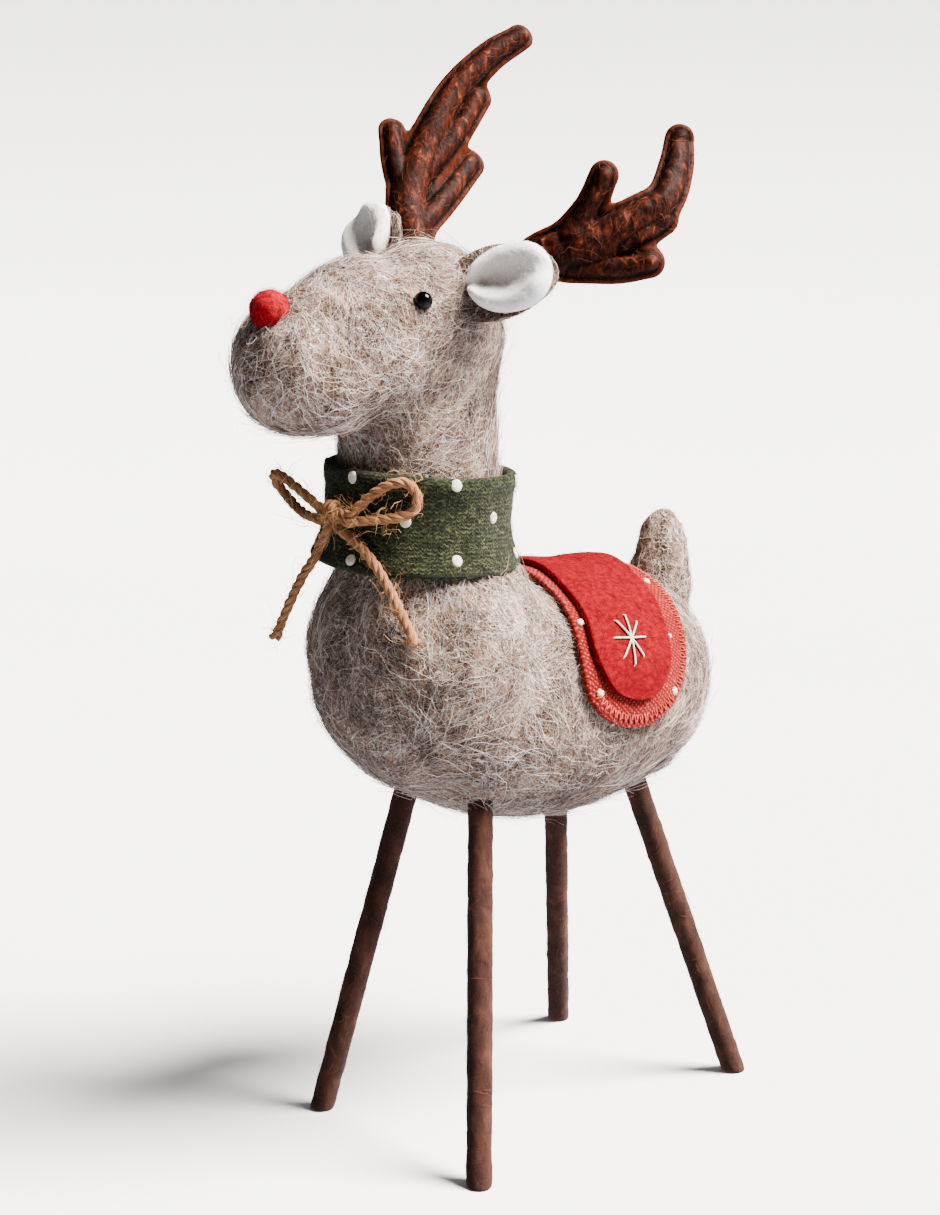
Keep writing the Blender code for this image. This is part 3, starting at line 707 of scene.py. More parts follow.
@dataclass
class Fibres:
    """Loose hairs that lie on a surface: curved three-sided tubes, each of one tone."""

    name: str
    carrier: Object
    finish: Material
    count: int
    length: float
    radius: float
    lie: Lie
    seed: int
    points: int = 5
    mask: str = ""
    combing: float = 38.0
    bending: float = 130.0
    turned: float = 0.9
    sizes: tuple[float, float] = (0.5, 1.35)

    def tree(self) -> Tree:
        """Scatter lines on the surface, comb and bend them over it and give them thickness.

        Returns:
            A tree with named inputs.
        """
        tree = bpy.data.node_groups.new("lay_fibres", "GeometryNodeTree")
        add = partial(add_node, tree)
        for label, kind in (("Geometry", "Geometry"), *((word, "Float") for word in (
                "Density", "Length", "Radius", "Lowest", "Highest", "Curl")), ("Seed", "Int"), ("Points", "Int"),
                ("Finish", "Material")):
            tree.interface.new_socket(label, in_out="INPUT", socket_type="NodeSocket" + kind)
        tree.interface.new_socket("Geometry", in_out="OUTPUT", socket_type="NodeSocketGeometry")
        given = add("NodeGroupInput")
        surface, density, length, radius, lowest, highest, curl, seed, points, finish = list(given.outputs)[:10]

        if self.mask:
            weight = add("GeometryNodeInputNamedAttribute", self.mask, data_type="FLOAT")
            density = add("ShaderNodeMath", density, weight, operation="MULTIPLY")
        spots = add("GeometryNodeDistributePointsOnFaces", links={"Mesh": surface, "Density": density, "Seed": seed})
        number, spin, size = (
            add("FunctionNodeRandomValue", links={"Min": low, "Max": high, "Seed": add(
                "ShaderNodeMath", seed, shift, operation="ADD")}, data_type="FLOAT")
            for low, high, shift in ((0.0, 1.0, 0.0), (-self.turned, self.turned, 7.0), (*self.sizes, 11.0)))
        marked = add("GeometryNodeStoreNamedAttribute", links={
            "Geometry": out(spots, "Points"), "Name": "strand", "Value": number}, data_type="FLOAT", domain="POINT")
        half = add("ShaderNodeMath", length, 0.5, operation="MULTIPLY")
        line = add("GeometryNodeCurvePrimitiveLine",
                   add("ShaderNodeCombineXYZ", add("ShaderNodeMath", half, -1.0, operation="MULTIPLY")),
                   add("ShaderNodeCombineXYZ", half))
        line = add("GeometryNodeResampleCurve", links={"Curve": line, "Count": points})
        drift = add("ShaderNodeTexNoise", add("GeometryNodeInputPosition"), self.combing, 0.0)
        flow = add("ShaderNodeVectorMath", out(drift, "Color"), (0.5, 0.5, 0.38), operation="SUBTRACT")
        combed = add("FunctionNodeAlignRotationToVector", out(spots, "Rotation"), 1.0, flow, axis="X", pivot_axis="Z")
        turned = add("FunctionNodeRotateRotation", combed, add(
            "FunctionNodeAxisAngleToRotation", (0.0, 0.0, 1.0), spin), rotation_space="LOCAL")
        placed = add("GeometryNodeInstanceOnPoints",
                     links={"Points": marked, "Instance": line, "Rotation": turned, "Scale": size})
        lines = add("GeometryNodeRealizeInstances", placed)

        place = add("GeometryNodeInputPosition")
        strand = add("GeometryNodeInputNamedAttribute", "strand", data_type="FLOAT")
        swirl = add("ShaderNodeTexNoise", place, add("ShaderNodeMath", strand, 9.0, operation="MULTIPLY"),
                    self.bending, 1.0, noise_dimensions="4D")
        centred = add("ShaderNodeVectorMath", out(swirl, "Color"), (0.5, 0.5, 0.5), operation="SUBTRACT")
        reach = add("ShaderNodeMath", curl, 2.0, operation="MULTIPLY")
        moved = add("ShaderNodeVectorMath", place, add(
            "ShaderNodeVectorMath", centred, reach, operation="SCALE"), operation="ADD")
        near = add("GeometryNodeProximity", links={"Geometry": surface, "Sample Position": moved},
                   target_element="FACES")
        normal = add("GeometryNodeSampleNearestSurface", links={
            "Mesh": surface, "Value": add("GeometryNodeInputNormal"), "Sample Position": moved},
            data_type="FLOAT_VECTOR")
        share = out(add("GeometryNodeSplineParameter"), "Factor")
        wild = add("ShaderNodeMath", add("ShaderNodeMath", strand, 17.3, operation="MULTIPLY"), operation="FRACT")
        rise = add("ShaderNodeMath", out(swirl, "Fac"), 0.5, add("ShaderNodeMath", share, 1.7, operation="POWER"),
                   operation="MULTIPLY_ADD")
        rise = add("ShaderNodeMath", rise, add("ShaderNodeMath", wild, 2.0, operation="POWER"), operation="MULTIPLY")
        rise = add("ShaderNodeMath", rise, highest, lowest, operation="MULTIPLY_ADD")
        lift = add("ShaderNodeVectorMath", out(normal, "Value"), rise, operation="SCALE")
        spot = add("ShaderNodeVectorMath", out(near, "Position"), lift, operation="ADD")
        laid = add("GeometryNodeSetPosition", links={"Geometry": lines, "Position": spot})
        bow = add("ShaderNodeMath", share, 2.7, 0.22, operation="MULTIPLY_ADD")
        taper = add("ShaderNodeMath", add("ShaderNodeMath", bow, operation="SINE"), 0.7, operation="POWER")
        profile = add("GeometryNodeCurvePrimitiveCircle", links={"Resolution": 3, "Radius": radius})
        solid = add("GeometryNodeCurveToMesh", links={"Curve": laid, "Profile Curve": profile, "Scale": taper})
        smooth = add("GeometryNodeSetShadeSmooth", links={"Geometry": solid, "Shade Smooth": True})
        real = add("GeometryNodeRealizeInstances", smooth)
        add("NodeGroupOutput", add("GeometryNodeSetMaterial", links={"Geometry": real, "Material": finish}))
        return tree

    def make(self) -> Object:
        """Lay the hairs.

        Returns:
            A plain mesh object.
        """
        mesh = self.carrier.data
        weight = np.ones(len(mesh.vertices), dtype=np.float32)
        if self.mask:
            mesh.attributes[self.mask].data.foreach_get("value", weight)
        area = sum(p.area * float(weight[p.vertices[0]]) for p in mesh.polygons)
        made = in_scene(self.name, mesh.copy())
        layer = made.modifiers.new("fibres", "NODES")
        layer.node_group = self.tree()
        low, high, curl = self.lie.value
        given = {"Density": self.count / max(area, 1e-9), "Length": self.length, "Radius": self.radius, "Lowest": low,
                 "Highest": high, "Curl": curl, "Seed": self.seed, "Points": self.points, "Finish": self.finish}
        for socket in layer.node_group.interface.items_tree:
            if socket.in_out == "INPUT" and socket.name in given:
                layer[socket.identifier] = given[socket.name]
        settle(made)
        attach(made, BODY)
        return made


# Head frame


@dataclass
class HeadPlace:
    """The head's own axes: left, back and up from the top of the neck."""

    height: float = 0.220
    neck: float = NECK
    roll: float = math.radians(13.0)
    pitch: float = math.radians(-1.0)

    def matrix(self) -> Matrix:
        """From the head's axes to the row frame."""
        seat = Matrix.Translation(SHIFT + Vector((0.0, self.neck, self.height)))
        return seat @ Matrix.Rotation(self.roll, 4, "Y") @ Matrix.Rotation(self.pitch, 4, "X")


# Wool body and tail


@dataclass
class WoolBody:
    """Trunk, neck and head in one, and the tail."""

    voxel: float = 0.0014
    smoothing: int = 30
    leg_radius: float = 0.0042
    ball_margin: float = 0.0006
    fibre_count: int = 5000
    fibre_length: float = 0.0135
    fibre_radius: float = 0.00006
    lumps: Waves = ((0.022, 0.0012), (0.009, 0.0007), (0.0035, 0.00035))
    tail_voxel: float = 0.0008
    tail_smoothing: int = 14
    tail_lumps: Waves = ((0.009, 0.0012), (0.003, 0.0004))
    tail_blunt: float = 0.42
    tail_short: float = 0.0016
    tail_slice: float = 0.001

    def close_sockets(self, mesh: bpy.types.Mesh, legs: Sequence[tuple[Vector, Vector]]) -> None:
        """Close the sockets of the legs and the dimples of nose and eyes, which the pieces hide.

        Args:
            mesh: the body's copy.
            legs: foot and top of each leg's middle line.
        """
        balls = []
        for node in ("nose", "eye_left", "eye_right"):
            low, high = (Vector(c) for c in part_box(node))
            balls.append(((low + high) / 2, max(high - low) / 2 + self.ball_margin))
        bm = bmesh.new()
        bm.from_mesh(mesh)
        bmesh.ops.remove_doubles(bm, verts=bm.verts, dist=DOUBLE)

        def hidden(point: Vector) -> bool:
            """Whether a point lies in a socket or a dimple."""
            for foot, top in legs:
                axis = (top - foot).normalized()
                if (point - foot).cross(axis).length < self.leg_radius:
                    return True
            return any((point - centre).length < radius for centre, radius in balls)

        inside = {v: hidden(v.co) for v in bm.verts}
        doomed = [f for f in bm.faces if all(inside[v] for v in f.verts)]
        bmesh.ops.delete(bm, geom=doomed, context="FACES")
        rims = [e for e in bm.edges if e.is_boundary]
        bmesh.ops.holes_fill(bm, edges=rims, sides=0)
        bmesh.ops.triangulate(bm, faces=bm.faces)
        bmesh.ops.recalc_face_normals(bm, faces=bm.faces)
        bm.to_mesh(mesh)
        bm.free()

    def make(self, finish: Material, legs: Sequence[tuple[Vector, Vector]]) -> Object:
        """Build the body's skin.

        Args:
            finish: its material.
            legs: foot and top of each leg's middle line.

        Returns:
            The piece that stands for the body's node.
        """
        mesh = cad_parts["wool_body"].data.copy()
        self.close_sockets(mesh, legs)
        mesh.materials.clear()
        mesh.materials.append(finish)
        made = melted(in_scene("felted_body", mesh), self.voxel, self.smoothing)
        rumple(made, self.lumps, 4.2)
        made.data.shade_smooth()
        return made

    def tail(self, finish: Material) -> Object:
        """Build the tail's skin."""
        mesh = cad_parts["tail"].data.copy()
        bm = bmesh.new()
        bm.from_mesh(mesh)
        bmesh.ops.remove_doubles(bm, verts=bm.verts, dist=DOUBLE)
        bm.to_mesh(mesh)
        bm.free()
        mesh.materials.clear()
        mesh.materials.append(finish)
        made = melted(in_scene("felted_tail", mesh), self.tail_voxel, self.tail_smoothing)
        low, high = (Vector(c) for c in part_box("tail"))
        spots = [v.co.copy() for v in made.data.vertices]
        tip = max(spots, key=lambda p: p.z)
        waist = [p for p in spots if abs(p.z - (low.z + high.z) / 2) < self.tail_slice]
        half_way = sum(waist, Vector()) / len(waist)
        for vert, spot in zip(made.data.vertices, spots):
            share = max(0.0, (spot.z - half_way.z) / (tip.z - half_way.z))
            middle = half_way.lerp(tip, share)
            wide = 1 + self.tail_blunt * share * share
            vert.co = Vector((middle.x + (spot.x - middle.x) * wide, middle.y + (spot.y - middle.y) * wide,
                              spot.z - self.tail_short * share))
        rumple(made, self.tail_lumps, 1.7)
        made.data.shade_smooth()
        return made


# Legs


@dataclass
class Legs:
    """Four dowels wrapped in thin felt, with the wrap's seam along each."""

    radius: float = 0.0036
    belly: float = 0.0908
    sides: int = 40
    rings: int = 90
    seam: float = 0.00045
    seam_start: float = 2.2
    seam_turn: float = 3.0
    seam_width: float = 0.13
    lumps: Waves = ((0.004, 0.00022), (0.0013, 0.00010))
    rim: tuple[tuple[float, float], ...] = ((0.0, 0.55), (0.0, 0.84), (0.0002, 0.94), (0.0006, 0.985), (0.0012, 1.0))
    cut: float = 0.02
    places: dict[str, tuple[tuple[float, float], tuple[float, float]]] = field(default_factory=lambda: {
        "front_left": ((0.0350, -0.0570), (0.0175, -0.0388)),
        "front_right": ((-0.0375, -0.0515), (-0.0184, -0.0368)),
        "rear_left": ((0.0325, 0.0615), (0.0181, 0.0312)),
        "rear_right": ((-0.0393, 0.0575), (-0.0124, 0.0257)),
    })

    def line(self, corner: str) -> tuple[Vector, Vector]:
        """Foot and top of a leg's middle line."""
        stand, hip = self.places[corner]
        foot = Vector((*stand, 0.0)) + SHIFT
        hip_point = Vector((*hip, self.belly)) + SHIFT
        axis = (hip_point - foot).normalized()
        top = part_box("leg_" + corner)[1][2]
        return foot, foot + axis * ((top - 0.001) / axis.z)

    def make(self, corner: str, finish: Material) -> Object:
        """Build one leg.

        Args:
            corner: which leg.
            finish: its material.

        Returns:
            The piece that stands for the leg's node.
        """
        foot, top = self.line(corner)
        axis = (top - foot).normalized()
        across = Vector((0.0, 1.0, 0.0)).cross(axis).normalized()
        other = axis.cross(across)
        length = (top - foot).length
        seed = len(corner) * 3.1
        points = [foot.copy()]
        shank = self.rim[-1][0]
        levels = [*self.rim, *((shank + (length - shank) * i / self.rings, 1.0) for i in range(1, self.rings + 1))]
        for along, size in levels:
            for k in range(self.sides):
                angle = 2 * math.pi * k / self.sides
                way = across * math.cos(angle) + other * math.sin(angle)
                spot = foot + axis * along + way * self.radius * size
                from_seam = (angle - self.seam_start - along * self.seam_turn + math.pi) % (2 * math.pi)
                from_seam = abs(from_seam - math.pi)
                ridge = self.seam * (bell(from_seam, self.seam_width) - 0.6 * bell(from_seam - 0.3, 0.1))
                lump = lumps(spot, self.lumps, Vector((seed, 0, 0)))
                spot += way * (ridge + lump) * min(1.0, along / shank)
                if along < self.cut:
                    spot -= axis * ((spot.z - along * axis.z) / axis.z) * max(0.0, 1 - along / self.cut)
                points.append(spot)
        last = len(points)
        points.append(top + axis * 0.0004)
        faces = bands(len(levels) - 1, self.sides, 1)
        for k in range(self.sides):
            faces.append((0, 1 + (k + 1) % self.sides, 1 + k))
            faces.append((last, last - self.sides + k, last - self.sides + (k + 1) % self.sides))
        made = outward(mesh_object("wrapped_leg_" + corner, points, faces, finish))
        return wear(made, "leg_" + corner)


# Face


@dataclass
class Face:
    """Felt nose and bead eyes."""

    def ball(self, node: str, name: str, finish: Material, lumps: float) -> Object:
        """A ball where a node is, as round as it really is.

        Args:
            node: the CAD node that it stands for.
            name: the piece's name.
            finish: its material.
            lumps: how uneven it is, in metres.

        Returns:
            The piece.
        """
        low, high = (Vector(c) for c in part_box(node))
        centre, radius = (low + high) / 2, max(high - low) / 2
        bm = bmesh.new()
        bmesh.ops.create_icosphere(bm, subdivisions=4, radius=radius, matrix=Matrix.Translation(centre))
        for vert in bm.verts:
            way = (vert.co - centre).normalized()
            vert.co += way * (noise.noise(vert.co / 0.0022) + noise.noise(vert.co / 0.0009) * 0.5) * lumps
        mesh = bpy.data.meshes.new(name)
        bm.to_mesh(mesh)
        bm.free()
        mesh.shade_smooth()
        mesh.materials.append(finish)
        return wear(in_scene(name, mesh), node)


# Ears


@dataclass
class Ears:
    """Felted leaves with a puffed fleece lining that is creased from the root."""

    length: float = 0.0275
    width: float = 0.0215
    cup: float = 0.0042
    wall: float = 0.0022
    lining_margin: float = 0.0012
    lining_gap: float = 0.0002
    lining_wall: float = 0.0052
    lining_start: float = 0.0026
    lift: float = math.radians(21.0)
    sweep: float = math.radians(28.0)
    turn: float = math.radians(-14.0)
    steps: int = 34
    across: int = 18
    tip_start: float = 0.76
    root_end: float = 0.14
    crease_end: float = 0.70
    crease_depth: float = 0.7
    roll_place: float = 0.62
    roll_height: float = 0.25
    roots: dict[Side, tuple[float, float, float]] = field(default_factory=lambda: {
        Side.LEFT: (0.0159, -0.0327, 0.2441),
        Side.RIGHT: (-0.0149, -0.0327, 0.2512),
    })

    def place(self, side: Side) -> Matrix:
        """The ear's own frame: x out to the tip, y across, z the hollow side."""
        turn = HeadPlace().matrix().to_3x3()
        sign = side.value
        way = Vector((sign * math.cos(self.lift) * math.cos(self.sweep), math.cos(self.lift) * math.sin(self.sweep),
                      math.sin(self.lift)))
        facing = Vector((0.0, -math.cos(self.turn), -math.sin(self.turn)))
        across = facing.cross(way).normalized() * sign
        facing = way.cross(across).normalized() * sign
        axes = Matrix((turn @ way, turn @ across, turn @ facing)).transposed().to_4x4()
        return Matrix.Translation(Vector(self.roots[side])) @ axes

    def half_width(self, share: float, width: float, lining: bool) -> float:
        """Half width at a share of the length: the lining is a drop, the leaf blunt at its tip."""
        if lining:
            return width / 2 * (1 - abs(2 * share ** 1.17 - 1) ** 2.3) ** 0.47
        return width / 2 * math.sin(math.pi * (0.13 + 0.87 * share) ** 0.85) ** 0.46

    def leaf(self, name: str, side: Side, lining: bool, finish: Material) -> Object:
        """Build the leaf or its lining.

        Args:
            name: the piece's name.
            side: which ear.
            lining: whether it is the fleece.
            finish: its material.

        Returns:
            The piece.
        """
        place = self.place(side)
        length = self.length - (self.lining_margin if lining else 0.0)
        width = self.width - (2 * self.lining_margin if lining else 0.0)
        points, fold = [], []
        ring = 2 * (2 * self.across + 1)
        for i in range(self.steps + 1):
            share = 0.003 + 0.989 * (0.5 - 0.5 * math.cos(math.pi * i / self.steps))
            half = self.half_width(share, width, lining)
            for face in (1, -1):
                for j in range(-self.across, self.across + 1):
                    x = face * math.sin(j / self.across * math.pi / 2)
                    hollow = self.cup * (x * x - 1) * math.sin(math.pi * (0.15 + 0.8 * share))
                    rim = math.sqrt(max(0.0, 1 - abs(x) ** 3))
                    rim *= math.sqrt(max(0.0, 1 - max(0.0, (share - self.tip_start) / 0.24) ** 2))
                    crease = bell(x - 0.10 + 0.30 * share, 0.34 + 0.30 * share)
                    crease *= min(1.0, 0.35 + share / 0.25) * max(0.0, 1 - share / self.crease_end) ** 0.8
                    if lining:
                        rim *= math.sqrt(max(0.0, 1 - max(0.0, (self.root_end - share) / self.root_end) ** 2))
                        roll = bell(abs(x) - self.roll_place, 0.30) * (0.4 + 0.6 * math.sin(math.pi * share))
                        puff = 1 + self.roll_height * roll - self.crease_depth * crease
                        height = self.wall / 2 + self.lining_gap
                        height += self.lining_wall * puff * rim if face > 0 else 0.0
                    else:
                        height = face * self.wall * 0.5 * max(rim, 0.12)
                    start = self.lining_start if lining else 0.0
                    spot = Vector((start + share * (length - start), x * half, height + hollow))
                    spot += Vector((0, 0, 0.0003)) * noise.noise(spot / 0.004 + Vector((side.value, 0, 2)))
                    points.append(place @ spot)
                    # The lining's crease also gets painted shade in its colour, through this mask.
                    fold.append(crease if lining and face > 0 else 0.0)
        faces = bands(self.steps, ring)
        last = self.steps * ring
        for base in (0, last):
            for k in range(ring // 2 - 1):
                faces.append((base + k, base + k + 1, base + ring - 2 - k, base + ring - 1 - k))
        return outward(mesh_object(name, points, faces, finish, values={"fold": fold}))


# Antlers


@dataclass
class Antler:
    """A stuffed cloth antler: two skins sewn together along a flat edge round the whole outline."""

    side: Side
    seat: tuple[float, float, float]
    turn: float
    lean: float
    tines: dict[str, list[tuple[float, float, float, float]]]
    seam: float = 0.0016
    seam_half: float = 0.00062
    puff: float = 0.0042
    step: float = 0.00056
    crotch: float = 0.0009
    blend: float = 0.0022
    valley_width: float = 0.0004
    valley_depth: float = 0.0004
    rounding: float = 0.0006
    stitch_line: float = 0.0003
    puckers: float = 0.13
    sway: float = 0.0005
    # Width of the painted shade along the seam's groove.
    crease_shade_width: float = 0.00045
    edge_width: float = 0.0013

    def samples(self) -> tuple[np.ndarray, np.ndarray, list[int]]:
        """Points and half widths along every tine, in the seat's own axes.

        Returns:
            The points, the half widths, and where each tine begins.
        """
        points, widths, starts = [], [], []
        for given in self.tines.values():
            starts.append(len(points))
            count = 8 * (len(given) - 1) + 1
            path = smooth_path([p[:3] for p in given], count)
            points += [tuple(p) for p in path]
            widths += list(np.interp(np.linspace(0, len(given) - 1, count), range(len(given)), [p[3] for p in given]))
        return np.array(points), np.array(widths), starts

    def make(self, finish: Material) -> Object:
        """Build the antler.

        Args:
            finish: its material.

        Returns:
            The piece that stands for the antler's node.
        """
        normal = np.array((math.cos(self.lean) * math.cos(self.turn), -math.cos(self.lean) * math.sin(self.turn),
                           -math.sin(self.lean)))
        upward = np.array((0.0, 0.0, 1.0)) - normal * normal[2]
        upward /= np.linalg.norm(upward)
        sideways = np.cross(upward, normal)
        points, widths, starts = self.samples()
        flat = np.stack([points @ sideways, points @ upward, points @ normal], 1)

        margin = widths.max() + 2 * self.step
        low, high = flat[:, :2].min(0) - margin, flat[:, :2].max(0) + margin
        xs = np.arange(low[0], high[0], self.step)
        ys = np.arange(low[1], high[1], self.step)
        grid = np.stack(np.meshgrid(xs, ys, indexing="ij"), -1).reshape(-1, 2)

        def measure(spots: np.ndarray) -> tuple[np.ndarray, ...]:
            """How deep inside the outline each spot is, the cloth's middle, its puff, and the valleys between tines."""
            near, middle, puffed = [], [], []
            for index, first in enumerate(starts):
                last = starts[index + 1] if index + 1 < len(starts) else len(flat)
                best = np.full(len(spots), 1.0)
                lift = np.zeros(len(spots))
                inner = np.full(len(spots), self.puff)
                for a in range(first, last - 1):
                    run = flat[a + 1, :2] - flat[a, :2]
                    t = np.clip(((spots - flat[a, :2]) @ run) / max(run @ run, 1e-12), 0, 1)
                    away = np.linalg.norm(spots - flat[a, :2] - t[:, None] * run, axis=1)
                    width = widths[a] + t * (widths[a + 1] - widths[a])
                    away -= width
                    closer = away < best
                    inner = np.where(closer, width - self.seam, inner)
                    best = np.where(closer, away, best)
                    lift = np.where(closer, flat[a, 2] + t * (flat[a + 1, 2] - flat[a, 2]), lift)
                near.append(best)
                middle.append(lift)
                core = np.clip((-best - self.seam) / inner, 0, 1)
                puffed.append(np.minimum(self.puff, inner) * np.sqrt(1 - (1 - core) ** 2))
            stack, lifts = np.array(near), np.array(middle)
            soft = -self.crotch * np.log(np.exp(-np.clip(stack, -0.03, 0.03) / self.crotch).sum(0))
            weight = np.exp(-np.clip(stack - stack.min(0), 0, 0.02) / self.blend)
            fingers = np.sort(np.array(puffed), axis=0)
            valley = bell(fingers[-1] - fingers[-2], self.valley_width) * np.clip(fingers[-2] / 0.0012, 0, 1)
            return -soft, (weight * lifts).sum(0) / weight.sum(0), (fingers**8).sum(0) ** 0.125, valley

        depth = measure(grid)[0]
        columns, rows = len(xs), len(ys)
        inside = depth.reshape(columns, rows)
        centres = (inside[:-1, :-1] + inside[1:, :-1] + inside[1:, 1:] + inside[:-1, 1:]) / 4
        cells = np.argwhere(centres > 0)
        number = np.arange(columns * rows).reshape(columns, rows)
        quads = np.array([(number[i, j], number[i + 1, j], number[i + 1, j + 1], number[i, j + 1]) for i, j in cells])
        uses = np.bincount(quads.ravel(), minlength=columns * rows)
        used = np.flatnonzero(uses)
        rim = (uses > 0) & (uses < 4)
        spots = grid.copy()
        for _ in range(3):
            edge = np.flatnonzero(rim)
            here = measure(spots[edge])[0]
            along_x = measure(spots[edge] + (1e-5, 0))[0]
            along_y = measure(spots[edge] + (0, 1e-5))[0]
            slope = np.stack([along_x - here, along_y - here], 1) / 1e-5
            spots[edge] -= slope * (here / np.maximum((slope**2).sum(1), 0.2))[:, None]

        spots = spots[used]
        deep, middle, puff, valley = measure(spots)
        rim = rim[used]
        deep = np.where(rim, 0.0, np.maximum(deep, 0.0))
        rounded = np.sqrt(1 - (1 - np.clip(deep / self.rounding, 0, 1)) ** 2)
        half = self.seam_half * rounded * (1 - 0.35 * bell(deep - self.seam, self.stitch_line))
        half += np.minimum(puff, np.maximum(deep - self.seam, 0.0) * 3.0) - self.valley_depth * valley
        wrinkle = np.array([noise.noise(Vector((x, y, 0.0)) / 0.0065 + Vector((self.side.value * 3, 1, 0)))
                          + 0.5 * noise.noise(Vector((x, y, 0.0)) / 0.0024) for x, y in spots])
        half *= 1 + self.puckers * wrinkle * np.clip(puff / 0.0015, 0, 1)
        middle = middle + self.sway * wrinkle

        renumber = -np.ones(columns * rows, dtype=int)
        renumber[used] = np.arange(len(used))
        quads = renumber[quads]
        back = np.where(rim, np.arange(len(used)), np.arange(len(used)) + len(used))
        place = Matrix.Translation(Vector(self.seat)) @ HeadPlace().matrix().to_3x3().to_4x4()
        place = place @ Matrix.Diagonal((self.side.value, 1.0, 1.0, 1.0))
        level = spots[:, :1] * sideways + spots[:, 1:] * upward
        both = np.concatenate([level + (middle + half)[:, None] * normal, level + (middle - half)[:, None] * normal])
        # Painted shade: the crease mask darkens the seam's groove, the valleys between tines and the flat webs at their
        # crotches.
        web = bell(puff, 0.0007) * np.clip((deep - 0.0009) / 0.0005, 0, 1)
        crease = np.maximum(bell(deep - self.seam - 0.0001, self.crease_shade_width), np.maximum(valley, web))
        edge = np.clip((self.edge_width - deep) / 0.0004, 0.0, 1.0)
        faces = [tuple(q) for q in quads] + [tuple(back[k] for k in reversed(q)) for q in quads]
        made = mesh_object("cloth_antler_" + self.side.word, [place @ Vector(p) for p in both], faces, finish,
                           values={"crease": np.tile(crease, 2), "edge": np.tile(edge, 2)})
        bm = bmesh.new()
        bm.from_mesh(made.data)
        bmesh.ops.delete(bm, geom=[v for v in bm.verts if not v.link_faces], context="VERTS")
        bmesh.ops.recalc_face_normals(bm, faces=bm.faces)
        bm.to_mesh(made.data)
        bm.free()
        wear(made, "antler_" + self.side.word)
        return made


def both_antlers() -> list[Antler]:
    """The two antlers, which were sewn by hand and differ.

    Returns:
        The left one and the right one.
    """
    return [
        Antler(Side.LEFT, (0.0151, -0.0149, 0.2382), math.radians(45.0), math.radians(-10.0), {
            "beam": [
                (-0.0050, -0.0030, 0.0000, 0.0040), (0.0051, 0.0052, 0.0159, 0.0070), (0.0148, 0.0121, 0.0212, 0.0078),
                (0.0215, 0.0204, 0.0304, 0.0060), (0.0243, 0.0282, 0.0368, 0.0055), (0.0213, 0.0343, 0.0451, 0.0050),
                (0.0169, 0.0389, 0.0529, 0.0041),
            ],
            "brow": [(0.0085, 0.0080, 0.0185, 0.0056), (0.0131, 0.0118, 0.0318, 0.0042),
                     (0.0151, 0.0129, 0.0407, 0.0040)],
            "middle": [(0.0191, 0.0156, 0.0232, 0.0048), (0.0243, 0.0222, 0.0280, 0.0045),
                       (0.0270, 0.0260, 0.0318, 0.0043)],
            "rear": [(0.0118, 0.0104, 0.0162, 0.0048), (0.0217, 0.0170, 0.0176, 0.0045),
                     (0.0288, 0.0219, 0.0206, 0.0043)],
        }),
        Antler(Side.RIGHT, (-0.0170, -0.0149, 0.2456), math.radians(-33.0), math.radians(30.0), {
            "beam": [
                (-0.0040, -0.0030, -0.0020, 0.0050), (0.0060, -0.0007, 0.0124, 0.0060),
                (0.0155, 0.0040, 0.0252, 0.0068), (0.0219, 0.0189, 0.0498, 0.0053),
                (0.0216, 0.0317, 0.0642, 0.0048), (0.0190, 0.0414, 0.0722, 0.0041),
            ],
            "brow": [(0.0158, 0.0026, 0.0259, 0.0046), (0.0211, 0.0024, 0.0307, 0.0043),
                     (0.0275, 0.0044, 0.0401, 0.0040)],
            "middle": [(0.0156, 0.0086, 0.0301, 0.0046), (0.0173, 0.0200, 0.0418, 0.0043),
                       (0.0197, 0.0291, 0.0530, 0.0041)],
            "rear": [(0.0070, 0.0016, 0.0160, 0.0048), (0.0107, 0.0134, 0.0239, 0.0044),
                     (0.0143, 0.0255, 0.0344, 0.0041)],
        }),
    ]


# Collar


